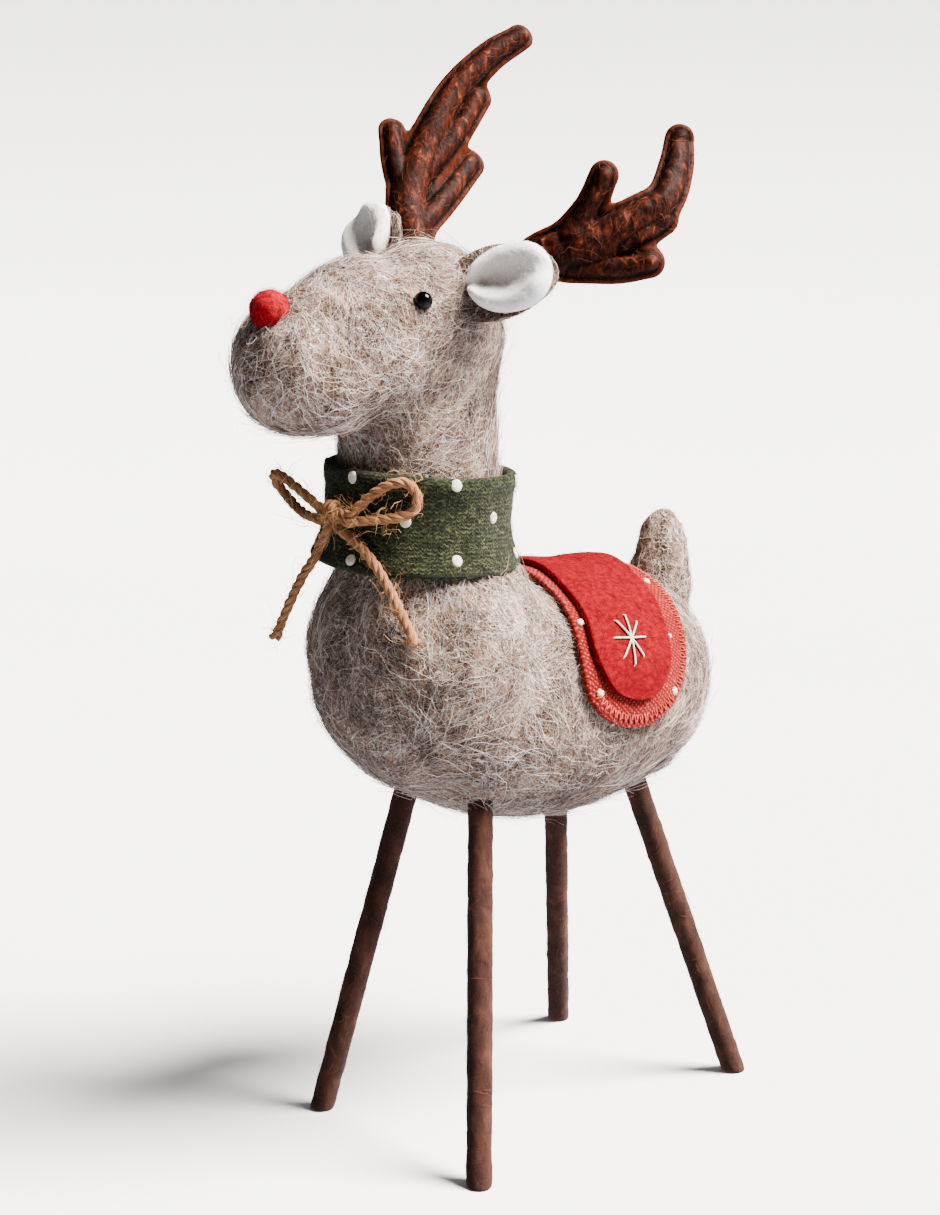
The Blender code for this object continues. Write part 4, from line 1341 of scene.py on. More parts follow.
@dataclass
class Collar:
    """A doubled knitted tube with woven white dots, tilted down on the animal's left."""

    height: float = 0.0275
    bottom: float = 0.1692
    diameter: float = 0.0535
    flare: float = 0.0044
    waist: float = 0.0010
    lip_bulge: float = 0.0007
    lumps: Waves = ((0.009, 0.0007), (0.0028, 0.00015))
    sway: float = 0.0009
    wall: float = 0.0036
    tilt: float = math.radians(5.5)
    neck: float = NECK
    segments: int = 220
    dot_radius: float = 0.00165
    dot_sides: int = 16
    dot_rings: tuple[tuple[float, float], ...] = ((0.5, 0.00045), (0.85, 0.00036), (1.0, 0.0001), (1.0, -0.0006))
    dots: tuple[tuple[float, float], ...] = (
        (4, 0.0254), (67, 0.0258), (123, 0.0256), (184, 0.0254), (245, 0.0256), (304, 0.0254),
        (39, 0.0153), (98, 0.0163), (157, 0.0155), (216, 0.0160), (277, 0.0157), (336, 0.0158),
        (9, 0.0036), (70, 0.0055), (128, 0.0050), (189, 0.0045), (250, 0.0050), (310, 0.0046),
    )

    def place(self) -> Matrix:
        """From the middle of the lower edge, its axis up, to the row frame."""
        middle = Matrix.Translation(SHIFT + Vector((0.0, self.neck, self.bottom + self.height / 2)))
        return middle @ Matrix.Rotation(self.tilt, 4, "Y") @ Matrix.Translation((0.0, 0.0, -self.height / 2))

    def radius(self, height: float) -> float:
        """Outer radius at a height above the lower edge."""
        share = min(1.0, max(0.0, height / self.height))
        bulge = self.lip_bulge * (bell(share - 0.90, 0.10) + bell(share - 0.08, 0.10))
        return self.diameter / 2 + self.flare / 2 * (1 - share) ** 2 - self.waist * math.sin(math.pi * share) + bulge

    def spot(self, degrees: float, height: float, lift: float) -> Vector:
        """A point off the outside: degrees from the front towards the left."""
        angle = math.radians(degrees)
        radius = self.radius(height) + lift
        return self.place() @ Vector((radius * math.sin(angle), -radius * math.cos(angle), height))

    def make(self, finish: Material) -> Object:
        """Build the tube with its soft lips.

        Args:
            finish: its material.

        Returns:
            The piece that stands for the collar's node.
        """
        lip = self.wall / 2
        profile = []
        for i in range(25):
            height = lip + (self.height - 2 * lip) * i / 24
            profile.append((self.radius(height), height))
        top_radius, low_radius = self.radius(self.height - lip), self.radius(lip)
        profile += [(top_radius - lip + lip * math.cos(a), self.height - lip + lip * math.sin(a))
                    for a in (math.pi * k / 10 for k in range(1, 10))]
        for i in range(13):
            height = self.height - lip - (self.height - 2 * lip) * i / 12
            profile.append((self.radius(height) - self.wall, height))
        profile += [(low_radius - lip - lip * math.cos(a), lip - lip * math.sin(a))
                    for a in (math.pi * k / 10 for k in range(1, 10))]
        count = len(profile)
        place = self.place()
        points, places = [], []
        run = np.concatenate([[0], np.cumsum([math.dist(profile[i], profile[i + 1]) for i in range(count - 1)])])
        for k in range(self.segments + 1):
            angle = 2 * math.pi * k / self.segments
            ring = Vector((math.sin(angle), -math.cos(angle), 0.0))
            sway = noise.noise(ring * 1.6 + Vector((5, 0, 0))) * self.sway
            for (radius, height), along in zip(profile, run):
                spot = ring * radius
                spot.z = height + sway * (height / self.height) - 0.6 * sway
                spot += ring * lumps(spot, self.lumps, Vector((9, 0, 0)))
                points.append(place @ spot)
                places.append((angle * self.diameter / 2, along))
        faces = bands(self.segments, count)
        made = outward(mesh_object("knitted_collar", points, faces, finish, uv=("cloth", places)))
        return wear(made, "collar")

    def make_dots(self, finish: Material, surface: BVHTree) -> Object:
        """Low round dots of thread on the outside."""
        points, faces = [], []
        axis, sides = self.place(), self.dot_sides
        for number, (degrees, height) in enumerate(self.dots):
            outside = self.spot(degrees, height, 0.01)
            inward = (axis @ Vector((0.0, 0.0, height)) - outside).normalized()
            centre, normal, _, _ = surface.ray_cast(outside, inward)
            across = normal.cross(Vector((0.0, 0.0, 1.0))).normalized()
            upward = normal.cross(across)
            base = len(points)
            points.append(centre + normal * 0.0005)
            for ring, (share, rise) in enumerate(self.dot_rings):
                for k in range(sides):
                    angle = 2 * math.pi * k / sides
                    about = Vector((math.cos(angle) * 1.5, math.sin(angle) * 1.5, number * 2.0))
                    wobble = 1 + 0.09 * noise.noise(about)
                    way = across * math.cos(angle) * 0.93 + upward * math.sin(angle)
                    points.append(centre + way * self.dot_radius * share * wobble + normal * rise)
                    outer, following = (base + 1 + ring * sides + j for j in (k, (k + 1) % sides))
                    faces.append((outer - sides, outer, following, following - sides) if ring
                                 else (base, outer, following))
            faces.append(tuple(base + 1 + (len(self.dot_rings) - 1) * sides + k for k in reversed(range(sides))))
        made = outward(mesh_object("collar_dots", points, faces, finish))
        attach(made, BODY)
        return made


# Bow


@dataclass
class Bow:
    """A bow of twisted jute cord on the collar's front."""

    diameter: float = 0.0030
    filled: float = 0.97
    strands: int = 3
    strand_share: float = 0.58
    lay: float = 0.0088
    fray: float = 0.55
    fray_length: float = 0.004
    uneven: float = 0.10
    sides: int = 10
    step: float = 0.00045
    knot: tuple[float, float, float] = (-0.0079, -0.0570, 0.1848)
    routes: dict[str, list[tuple[float, float, float]]] = field(default_factory=lambda: {
        "bow_loop_left": [
            (0.0005, -0.0566, 0.1858), (0.0053, -0.0544, 0.1903), (0.0099, -0.0520, 0.1932), (0.0133, -0.0496, 0.1933),
            (0.0148, -0.0477, 0.1905), (0.0143, -0.0476, 0.1867), (0.0123, -0.0493, 0.1848), (0.0089, -0.0519, 0.1839),
            (0.0047, -0.0545, 0.1835), (0.0003, -0.0567, 0.1829),
        ],
        "bow_loop_right": [
            (-0.0134, -0.0575, 0.1863), (-0.0185, -0.0587, 0.1899), (-0.0234, -0.0597, 0.1930),
            (-0.0276, -0.0599, 0.1946), (-0.0304, -0.0588, 0.1938), (-0.0309, -0.0567, 0.1910),
            (-0.0282, -0.0560, 0.1882), (-0.0237, -0.0566, 0.1857), (-0.0185, -0.0577, 0.1839),
            (-0.0134, -0.0580, 0.1830),
        ],
        "bow_tail_left": [
            (-0.0049, -0.0570, 0.1804), (0.0003, -0.0557, 0.1770), (0.0053, -0.0541, 0.1717), (0.0091, -0.0524, 0.1652),
            (0.0122, -0.0512, 0.1591), (0.0151, -0.0507, 0.1545), (0.0171, -0.0504, 0.1509),
        ],
        "bow_tail_right": [
            (-0.0099, -0.0580, 0.1793), (-0.0123, -0.0580, 0.1756), (-0.0149, -0.0580, 0.1718),
            (-0.0177, -0.0585, 0.1683), (-0.0209, -0.0590, 0.1638), (-0.0250, -0.0595, 0.1568),
            (-0.0294, -0.0600, 0.1488),
        ],
    })

    def twist(self, route: Sequence[Vector], frayed: bool, phase: float, gauge: float = 1.0
              ) -> list[tuple[list[Vector], list[float]]]:
        """Wind the strands of one length of cord.

        Args:
            route: its middle line.
            frayed: whether its far end spreads.
            phase: where the first strand begins, in turns.
            gauge: share of the cord's thickness, where it is pulled tight.

        Returns:
            The middle line and the radii of each strand.
        """
        radius = self.diameter / 2 * self.filled * gauge
        strand = radius * self.strand_share
        offset = radius - strand
        total = self.length_of(route)
        runs = [([], []) for _ in range(self.strands)]
        for along, centre, across, other in walk(route):
            left = max(0.0, 1 - (total - along) / self.fray_length)
            spread = 1 + (self.fray * left**1.5 if frayed else 0.0)
            for number, (path, radii) in enumerate(runs):
                angle = 2 * math.pi * (along / self.lay + number / self.strands + phase)
                wobble = 1 + self.uneven * noise.noise(Vector((along / 0.004, number * 3.0, phase * 9)))
                path.append(centre + (across * math.cos(angle) + other * math.sin(angle)) * offset * spread * wobble)
                radii.append(strand * wobble * (1 + 0.25 * (spread - 1)))
        return runs

    def length_of(self, route: Sequence[Vector]) -> float:
        """The length of a route."""
        return sum((b - a).length for a, b in zip(route, route[1:]))

    def make(self, finish: Material) -> list[Object]:
        """Build the four free lengths and the knot.

        Args:
            finish: the jute.

        Returns:
            The pieces, the knot last.
        """
        pieces = []
        lines = {}
        for node, points in self.routes.items():
            rough = smooth_path(points, 40)
            lines[node] = smooth_path(points, max(12, int(self.length_of(rough) / self.step)))
        knot = self.make_knot(finish, lines)
        for number, (node, line) in enumerate(lines.items()):
            tail = "tail" in node
            made = joined_tubes("jute_" + node, self.twist(line, tail, 0.17 * number), self.sides, finish)
            wear(made, node)
            tuple(line[0])
            self.length_of(line)
            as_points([tuple(p) for p in line[::4]] + [tuple(line[-1])])
            pieces.append(made)
        return [*pieces, knot]

    def make_knot(self, finish: Material, lines: dict[str, list[Vector]]) -> Object:
        """Cord that crosses under a short upright wrap."""
        centre = Vector(self.knot)
        runs = []
        sideways = Vector((0.99, 0.10, 0.06)).normalized()
        for number, node in enumerate(lines):
            starts = [(lines[node][0], lines[node][1])]
            if "loop" in node:
                starts.append((lines[node][-1], lines[node][-2]))
            for first, second in starts:
                back = (first - second).normalized()
                inside = centre + (first - centre) * 0.16
                route = smooth_path([first + back * -0.0004, first + back * 0.0018, inside], 12)
                runs += self.twist(route, False, 0.3 * number)
        runs.append(([centre + sideways * (0.0004 * k - 0.0024) for k in range(13)],
                     [0.0021 * math.sqrt(max(0.04, 1 - ((k - 6) / 6.4) ** 2)) for k in range(13)]))
        facing = Vector((0.0, -1.0, 0.0))
        for shift, lean, phase in ((-0.0011, 0.10, 0.0), (0.0012, -0.16, 0.4)):
            ring = []
            for k in range(36):
                angle = 2 * math.pi * k / 35
                ring.append(centre + sideways * (shift + lean * 0.003 * math.sin(angle))
                            + facing * math.cos(angle) * 0.0018 + Vector((0, 0, 1)) * math.sin(angle) * 0.0026)
            runs += self.twist(ring, False, phase, 0.78)
        return wear(joined_tubes("jute_knot", runs, self.sides, finish), "bow_knot")


# Saddle blanket


@dataclass
class Saddle:
    """Two felt layers draped over the back, with a star and dots of white thread."""

    belly: float = 0.0908
    depth: float = 0.0725
    width: float = 0.047
    drop: float = math.radians(97.0)
    place: float = 0.017
    skew: float = -0.0160
    round_share: float = 0.30
    top_margin: float = 0.0045
    rear_margin: float = 1.9
    lower_margin: float = 1.45
    rear_trim: float = 0.0030
    lift: float = 0.0008
    wall: float = 0.0016
    top_wall: float = 0.0018
    calming: int = 10
    columns: int = 110
    rows: int = 32
    star: tuple[tuple[float, float], ...] = (
        (52.9, 0.0015), (56.6, 0.0052), (63.8, 0.0059), (71.4, 0.0023),
        (74.1, -0.0028), (70.4, -0.0067), (62.0, -0.0075), (54.9, -0.0037),
    )
    star_middle: tuple[float, float] = (63.3, -0.0007)
    thread: float = 0.00027
    knot: float = 0.00052
    knot_reach: float = 0.00115
    stitch_pitch: float = 0.0021
    stitch_reach: float = 0.0026
    stitch_lean: float = 0.0007
    edge_steps: int = 400
    sway: float = 0.00028
    pinch: float = 0.00025
    dots: tuple[tuple[float, float, float], ...] = (
        (51.8, -0.0131, 1.0), (81.4, -0.0149, 1.0), (86.0, 0.0160, 1.0), (63.8, 0.0206, 0.6), (33.5, 0.0284, 1.0),
    )

    def outline(self, share: float, margin: float) -> tuple[float, float, float]:
        """The strip at a share of its drop, from -1 to 1: angle, front edge and rear edge.

        Args:
            share: which way down, from the ridge.
            margin: how far inside the lower layer's edge.

        Returns:
            Angle from the top in radians, and the two edges along Y before the shift.
        """
        turned = abs(share)
        closing = max(0.0, (turned - 1 + self.round_share) / self.round_share)
        rounding = math.sqrt(max(0.0, 1 - closing**2.4))
        middle = self.place + self.skew * turned
        front = (self.width / 2 - margin) * rounding
        rear = (self.width / 2 - margin * self.rear_margin - self.rear_trim * turned) * rounding
        drop = self.drop - margin * self.lower_margin / (self.depth / 2)
        return share * drop, middle - front, middle + rear

    def cast(self, surface: BVHTree, angle: float, y: float) -> tuple[Vector, Vector]:
        """The carrier's surface at an angle from the top and a place along Y."""
        way = Vector((math.sin(angle), 0.0, math.cos(angle)))
        start = SHIFT + Vector((0.0, y, self.belly + self.depth / 2)) + way * 0.2
        point, normal, _, _ = surface.ray_cast(start, -way)
        return point, normal

    def layer(self, name: str, node: str, surface: BVHTree, margin: float, lift: float, wall: float,
              finish: Material) -> Object:
        """Drape one layer.

        Args:
            name: the piece's name.
            node: the CAD node that it stands for.
            surface: what it lies on.
            margin: how far inside the lower layer's edge it ends.
            lift: air under it.
            wall: its thickness.
            finish: its material.

        Returns:
            The piece.
        """
        grid = []
        for i in range(self.columns + 1):
            share = math.sin((i / self.columns - 0.5) * math.pi) * 0.9995
            angle, front, rear = self.outline(share, margin)
            line = []
            for j in range(self.rows + 1):
                y = (front + rear) / 2 + (rear - front) / 2 * math.sin((j / self.rows - 0.5) * math.pi)
                point, normal = self.cast(surface, angle, y)
                line.append((point, normal, (angle * self.depth / 2, y)))
            grid.append(line)
        last_i, last_j = self.columns, self.rows
        spots = np.array([[point for point, _, _ in line] for line in grid])
        ways = np.array([[normal for _, normal, _ in line] for line in grid])
        for _ in range(self.calming):
            for net in (spots, ways):
                net[1:-1] = (net[1:-1] * 2 + net[:-2] + net[2:]) / 4
                net[:, 1:-1] = (net[:, 1:-1] * 2 + net[:, :-2] + net[:, 2:]) / 4
        points, places, number = [], [], {}
        for skin, rise in enumerate((lift, lift + wall)):
            for i, line in enumerate(grid):
                for j, (_, _, cloth) in enumerate(line):
                    point, normal = Vector(spots[i, j]), Vector(ways[i, j]).normalized()
                    sway = noise.noise(point / 0.012 + Vector((wall * 4000, 0, 0))) * self.sway
                    pull = self.pinch if i in (0, last_i) or j in (0, last_j) else 0.0
                    number[skin, i, j] = len(points)
                    points.append(point + normal * (rise + sway + (pull if skin == 0 else -pull)))
                    places.append(cloth)
        faces = []
        for i in range(last_i):
            for j in range(last_j):
                quad = [(i, j), (i + 1, j), (i + 1, j + 1), (i, j + 1)]
                faces.append([number[(1, *q)] for q in quad])
                faces.append([number[(0, *q)] for q in reversed(quad)])
        rim = [(i, 0) for i in range(last_i)] + [(last_i, j) for j in range(last_j)]
        rim += [(i, last_j) for i in range(last_i, 0, -1)] + [(0, j) for j in range(last_j, 0, -1)]
        middle = []
        for i, j in rim:
            low, high = points[number[0, i, j]], points[number[1, i, j]]
            inner_i, inner_j = min(max(i, 1), last_i - 1), min(max(j, 1), last_j - 1)
            outside = high - points[number[1, inner_i, inner_j]]
            outside = outside.normalized() if outside.length > 1e-7 else Vector()
            middle.append(len(points))
            points.append((low + high) / 2 + outside * wall * 0.32)
            places.append(grid[i][j][2])
        for k, (i, j) in enumerate(rim):
            following = (k + 1) % len(rim)
            a, b = rim[following]
            faces.append([number[0, i, j], number[0, a, b], middle[following], middle[k]])
            faces.append([middle[k], middle[following], number[1, a, b], number[1, i, j]])
        return wear(outward(mesh_object(name, points, faces, finish, uv=("cloth", places))), node)

    def threads(self, finish: Material, lower: BVHTree, upper: BVHTree) -> list[Object]:
        """The star on each side, and the dots.

        Args:
            finish: white thread.
            lower: the lower layer's surface.
            upper: the upper layer's surface.

        Returns:
            The pieces.
        """
        made = []
        for side in Side:
            runs = []
            for number, (degrees, y) in enumerate(self.star):
                path = []
                for k in range(9):
                    share = -0.06 + 1.06 * k / 8
                    angle = math.radians(self.star_middle[0] + (degrees - self.star_middle[0]) * share) * side.value
                    spot, normal = self.cast(upper, angle, self.star_middle[1] + (y - self.star_middle[1]) * share)
                    rise = 0.00045 if 0 < k < 8 else -0.0004
                    path.append(spot + normal * (rise + 0.00006 * (number % 3)))
                runs.append((path, [0.00022, *([self.thread] * 7), 0.0002]))
            made.append(joined_tubes("star_threads_" + side.word, runs, 8, finish))
            knots = []
            for number, (degrees, y, size) in enumerate(self.dots):
                spot, normal = self.cast(lower, math.radians(degrees) * side.value, y)
                across = normal.orthogonal().normalized()
                for k in range(3):
                    turn = Matrix.Rotation(0.9 * k + number, 3, normal) @ across
                    reach = self.knot_reach * size
                    path = [spot + turn * reach * (t / 3 - 1) + normal * (0.0005 * math.sin(math.pi * t / 6) - 0.0001)
                            for t in range(7)]
                    knots.append((path, [0.0003 * size, *([self.knot * size] * 5), 0.0003 * size]))
            made.append(joined_tubes("blanket_dots_" + side.word, knots, 8, finish))
        for piece in made:
            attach(piece, BODY)
        return made

    def edge_stitches(self, finish: Material, lower: BVHTree) -> Object:
        """Blanket stitches along the lower layer's rear and lower edge, on both sides."""
        runs = []
        for side in Side:
            edge = []
            last = self.edge_steps - 1
            for k in range(self.edge_steps):
                angle, _, rear = self.outline(0.12 + 0.88 * math.sin(k / last * math.pi / 2), 0.0)
                edge.append((angle * side.value, rear))
            for k in range(self.edge_steps):
                share = 0.12 + 0.88 * math.sin((last - k) / last * math.pi / 2)
                angle, front, _ = self.outline(share, 0.0)
                if share > 0.86:
                    edge.append((angle * side.value, front))
            spots = []
            for angle, y in edge:
                at_front = y < self.outline(abs(angle) / self.drop, 0.0)[1] + 0.001
                spots.append(self.cast(lower, angle * 0.985, y + (0.0008 if at_front else -0.0008)))
            along, following = 0.0, 0.0
            for k in range(1, len(spots)):
                (before, _), (here, normal) = spots[k - 1], spots[k]
                run = here - before
                along += run.length
                if along < following or run.length < DOUBLE:
                    continue
                following = along + self.stitch_pitch
                ahead = run.normalized()
                inward = normal.cross(ahead).normalized()
                if (self.centre_of(side, lower) - here).dot(inward) < 0:
                    inward.negate()
                for lean in (self.stitch_lean, -self.stitch_lean):
                    path = [here - inward * 0.0006 + normal * -0.0003, here + normal * 0.00025,
                            here + inward * 0.0013 + ahead * lean * 0.6 + normal * 0.0003,
                            here + inward * self.stitch_reach + ahead * lean + normal * -0.0002]
                    runs.append((path, [0.00016, 0.00021, 0.00021, 0.00014]))
        made = joined_tubes("blanket_stitches", runs, 5, finish)
        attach(made, BODY)
        return made

    def centre_of(self, side: Side, lower: BVHTree) -> Vector:
        """The middle of the lower layer's flap on one side."""
        return self.cast(lower, math.radians(62.0) * side.value, self.place + self.skew * 0.64)[0]


# Studio


@dataclass
class Studio:
    """Pale sweep, soft lights and the camera at the photograph's angle."""

    camera_place: tuple[float, float, float] = (0.3772, -0.3925, 0.228)
    azimuth: float = math.radians(44.8)
    pitch: float = math.radians(7.7)
    lens: float = 56.3
    sensor: float = 36.0
    room: tuple[float, float, float, float] = (0.13, 0.65, 2.3, 4.6)
    key: float = 30.0
    key_spread: float = math.radians(32.0)
    key_way: tuple[float, float, float] = (0.625, 0.13, 0.770)

    def make(self) -> None:
        """Set everything up."""
        self.floor()
        self.lights()
        self.camera()

    def floor(self) -> None:
        """A floor that sweeps up far behind."""
        finish = Plain(name="white paper sweep", low="#f1f1f1", high="#f4f4f4", grain=0.5, sheen=0.0, relief=0.0).make()
        away = Vector((-math.sin(self.azimuth), math.cos(self.azimuth), 0.0))
        across = Vector((away.y, -away.x, 0.0))
        profile = [(-4.0, 0.0), (1.6, 0.0)]
        profile += [(1.6 + 1.2 * math.sin(a), 1.2 - 1.2 * math.cos(a))
                    for a in (math.pi / 2 * k / 16 for k in range(1, 17))]
        profile.append((2.8, 5.0))
        points, faces = [], []
        for x in (-6.0, 6.0):
            points += [away * y + across * x + Vector((0, 0, z)) for y, z in profile]
        for i in range(len(profile) - 1):
            faces.append((i, i + 1, i + 1 + len(profile), i + len(profile)))
        sweep = mesh_object("paper_sweep", points, faces, finish)
        sweep.visible_diffuse = False
        sweep.visible_glossy = False
        sweep.visible_shadow = False
        sweep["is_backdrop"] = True

    def lights(self) -> None:
        """A broad key from the camera's right and a little in front, in a room that is darker on the left.

        The room gives all sides a little light, its right side more, and the floor throws light back from below.
        """
        across = Vector((math.cos(self.azimuth), math.sin(self.azimuth), 0.0))
        towards = Vector((math.sin(self.azimuth), -math.cos(self.azimuth), 0.0))
        world = bpy.data.worlds.new("studio room")
        world.use_nodes = True
        world.node_tree.nodes.clear()
        bpy.context.scene.world = world
        add = partial(add_node, world.node_tree)
        way = out(add("ShaderNodeTexCoord"), "Generated")
        right, down = (
            add("ShaderNodeMath", out(add("ShaderNodeVectorMath", way, facing, operation="DOT_PRODUCT")), 0.0,
                operation="MAXIMUM")
            for facing in (tuple(across), (0.0, 0.0, -1.0)))
        even, side, ground, ground_right = self.room
        floor = add("ShaderNodeMath", right, ground_right, ground, operation="MULTIPLY_ADD")
        level = add("ShaderNodeMath", right, side, even, operation="MULTIPLY_ADD")
        level = add("ShaderNodeMath", down, floor, level, operation="MULTIPLY_ADD")
        add("ShaderNodeOutputWorld", add("ShaderNodeBackground", "#f1f4fa", level))
        lamp = bpy.data.lights.new("key", "SUN")
        lamp.energy = self.key
        lamp.angle = self.key_spread
        lamp.color = linear("#fffaf4")[:3]
        made = in_scene("key", lamp)
        way = across * self.key_way[0] + towards * self.key_way[1] + Vector((0.0, 0.0, self.key_way[2]))
        made.rotation_euler = (-way).to_track_quat("-Z", "Y").to_euler()

    def camera(self) -> None:
        """The camera."""
        data = bpy.data.cameras.new("camera")
        data.lens = self.lens
        data.sensor_width = self.sensor
        data.sensor_fit = "AUTO"
        data.clip_start = 0.01
        made = in_scene("camera", data)
        made.location = self.camera_place
        made.rotation_euler = (math.pi / 2 - self.pitch, 0.0, self.azimuth)
        bpy.context.scene.camera = made


# The whole


def report(piece: Object) -> None:
    """Log a piece and its faces."""
    LOG.info("%s: %d faces", piece.name, len(piece.data.polygons))


def main() -> None:
    """Build every sub-assembly in order."""
    logging.basicConfig(level=logging.INFO, format="%(name)s %(message)s")
    Studio().make()
    thread = Plain(name="white cotton thread", low="#c9c4ac", high="#e9e4cd").make()
    hair = SingleHair().make()
    wool = FeltedWool().make()

    bow = Bow()
    jute = Jute().make()
    cords = bow.make(jute)

    legs = Legs()
    lines = [legs.line(corner) for corner in legs.places]
    wrap = WrapFelt().make()
    leg_pieces = [legs.make(corner, wrap) for corner in legs.places]

    body = WoolBody()
    trunk = wear(body.make(wool, lines), "wool_body")
    tail = wear(body.tail(wool), "tail")

    surface = tree_of(trunk)
    saddle = Saddle()
    tweed = TweedFelt().make()
    plush = DyedFelt(name="red plush felt", grain=0.0010).make()
    lower = saddle.layer("tweed_blanket", "saddle_blanket", surface, 0.0, saddle.lift, saddle.wall, tweed)
    upper = saddle.layer("plush_blanket", "saddle_top", surface, saddle.top_margin, saddle.lift + saddle.wall + 0.0002,
                         saddle.top_wall, plush)
    coral_thread = Plain(name="coral thread", low="#8f1c14", high="#c2503e").make()
    stitches = saddle.edge_stitches(coral_thread, tree_of(lower))
    marks = saddle.threads(thread, tree_of(lower), tree_of(upper))

    collar = Collar()
    knit = GreenKnit().make()
    tube_piece = collar.make(knit)
    dots = collar.make_dots(thread, tree_of(tube_piece))

    face = Face()
    red = DyedFelt(name="red felted wool", grain=0.0009, deep="#5c0108", main="#8c0414", bloom="#bc1024").make()
    bead = Plain(name="black glass bead", low="#010101", high="#020202", grain=0.01, roughness=0.06, sheen=0.0,
                 specular=0.12, relief=0.0).make()
    nose = face.ball("nose", "felt_nose", red, 0.00018)
    eyes = [face.ball("eye_" + side.word, "bead_eye_" + side.word, bead, 0.0) for side in Side]

    ears = Ears()
    fleece = Fleece().make()
    leaves = []
    for side in Side:
        leaf = ears.leaf("felted_ear_" + side.word, side, False, wool)
        lining = ears.leaf("fleece_lining_" + side.word, side, True, fleece)
        leaves += [wear(leaf, "ear_" + side.word),
                   wear(lining, "ear_lining_" + side.word)]

    suede = SuedeCloth().make()
    sewn = both_antlers()
    antlers = [antler.make(suede) for antler in sewn]

    neck = SHIFT.y + collar.neck

    def open_wool(point: Vector) -> float:
        """One where the wool shows, nought under the blanket and the collar."""
        local = point - SHIFT
        centre = saddle.belly + saddle.depth / 2
        angle = math.atan2(local.x, local.z - centre)
        share = angle / saddle.drop
        if abs(share) < 1.0 and local.z < 0.175 and local.y > -0.03:
            _, front, rear = saddle.outline(share, 0.0)
            if front + 0.001 < local.y < rear - 0.001:
                return 0.0
        if abs(local.z - collar.bottom - collar.height / 2) < collar.height * 0.42 and abs(point.y - neck) < 0.03:
            return 0.0
        return 1.0

    tufts = [top for _, top in lines] + [Vector(antler.seat) for antler in sewn]
    tufts += [Vector(root) for root in ears.roots.values()]

    def loose_wool(point: Vector) -> float:
        """Most fly-away hair round the legs' tops and the roots of ears and antlers."""
        near = min((point - tuft).length for tuft in tufts)
        return open_wool(point) * (0.3 + 0.7 * max(0.0, min(1.0, (0.018 - near) / 0.006)))

    share_out(trunk, "open", loose_wool)
    head_line = collar.bottom + collar.height * 0.5
    share_out(trunk, "open_head", lambda p: open_wool(p) * (p.z > head_line))
    share_out(trunk, "open_front", lambda p: open_wool(p) * (p.z <= head_line and p.y < SHIFT.y - 0.008))
    share_out(trunk, "open_rear", lambda p: open_wool(p) * (p.z <= head_line and p.y >= SHIFT.y - 0.008))
    fur = []
    for number, (word, mask) in enumerate((("head", "open_head"), ("front", "open_front"), ("rear", "open_rear"))):
        fur.append(Fibres("wool_hair_" + word, trunk, hair, body.fibre_count, body.fibre_length, body.fibre_radius,
                          Lie.FELTED, 3 + number, mask=mask).make())
    fur.append(Fibres("wool_flyaways", trunk, hair, 2200, 0.013, 0.00005, Lie.LOOSE, 21, points=6, mask="open").make())
    fur.append(Fibres("tail_hair", tail, hair, 520, 0.010, 0.00006, Lie.FELTED, 31).make())
    for number, leaf in enumerate(leaves[::2]):
        fur.append(Fibres(f"ear_hair_{number}", leaf, hair, 420, 0.008, 0.00006, Lie.FUZZ, 41 + number).make())

    tones_of = {
        "red wool hair": ("#4c0107", "#72020d", "#9c0a1a"),
        "green wool hair": ("#0c1006", "#252b17", "#6c6c49"),
        "brown hair": ("#170904", "#3c1a0f", "#86492f"),
        "jute hair": ("#6b4426", "#ac7b4b", "#e3bd8a"),
        "fleece pile": ("#cfcac4", "#e6e2dd", "#fbf9f6"),
    }
    red_hair, green_hair, brown_hair, jute_hair, white_hair = (
        SingleHair(name=name, specular=0.05, clouds=0.0, tones=tuple(zip((0.0, 0.55, 1.0), tones))).make()
        for name, tones in tones_of.items())
    for leg in leg_pieces:
        share_out(leg, "open", lambda p: float(0.007 < p.z < 0.085))
    trims = [
        (Fibres("nose_hair", nose, red_hair, 600, 0.0030, 0.00004, Lie.FUZZ, 51, points=4), "red_wool_ball"),
        (Fibres("collar_hair", tube_piece, green_hair, 2200, 0.0034, 0.00004, Lie.FUZZ, 52, points=4), "green_knit"),
        (Fibres("plush_pile", upper, red_hair, 2600, 0.0034, 0.00004, Lie.PILE, 53, points=4), "red_plush_felt"),
        (Fibres("tweed_hair", lower, red_hair, 1000, 0.0030, 0.00004, Lie.FUZZ, 54, points=4), "coral_tweed_felt"),
        *((Fibres(f"fleece_pile_{n}", leaf, white_hair, 600, 0.0022, 0.00004, Lie.PILE, 55 + n, points=4),
           "white_fleece") for n, leaf in enumerate(leaves[1::2])),
        *((Fibres(f"leg_hair_{n}", leg, brown_hair, 240, 0.0040, 0.00004, Lie.FUZZ, 61 + n, points=4, mask="open"),
           "brown_wrapped_felt") for n, leg in enumerate(leg_pieces)),
        *((Fibres(f"antler_hair_{n}", antler, brown_hair, 900, 0.0034, 0.00004, Lie.FUZZ, 67 + n, points=4),
           "brown_suede_cloth") for n, antler in enumerate(antlers)),
        *((Fibres(f"jute_hair_{n}", cord, jute_hair, 52, 0.0085, 0.00007, Lie.WHISKER, 71 + n, points=7), "jute_cord")
          for n, cord in enumerate(cords)),
    ]
    for fibres, slot in trims:
        made = fibres.make()
        fur.append(made)

    for piece in (*cords, *leg_pieces, trunk, tail, lower, upper, stitches, *marks, tube_piece, dots, nose, *eyes,
                  *leaves, *antlers, *fur):
        report(piece)
    boxes = {"cad": CAD_BOX, "visual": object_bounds()}
    {key: [[float(x) for x in corner] for corner in box] for key, box in boxes.items()}


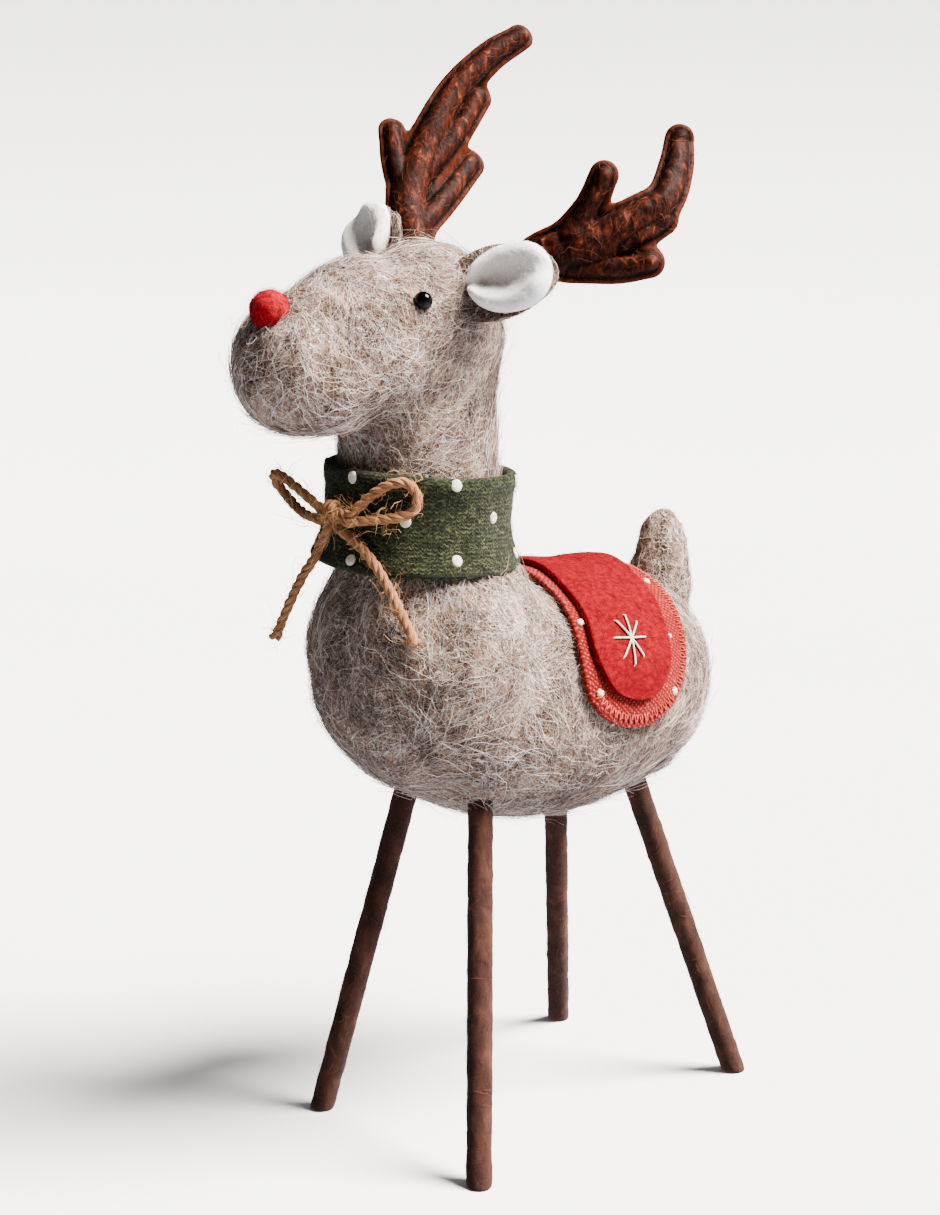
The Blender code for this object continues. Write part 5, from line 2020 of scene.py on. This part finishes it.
if __name__ == "__main__":
    main()
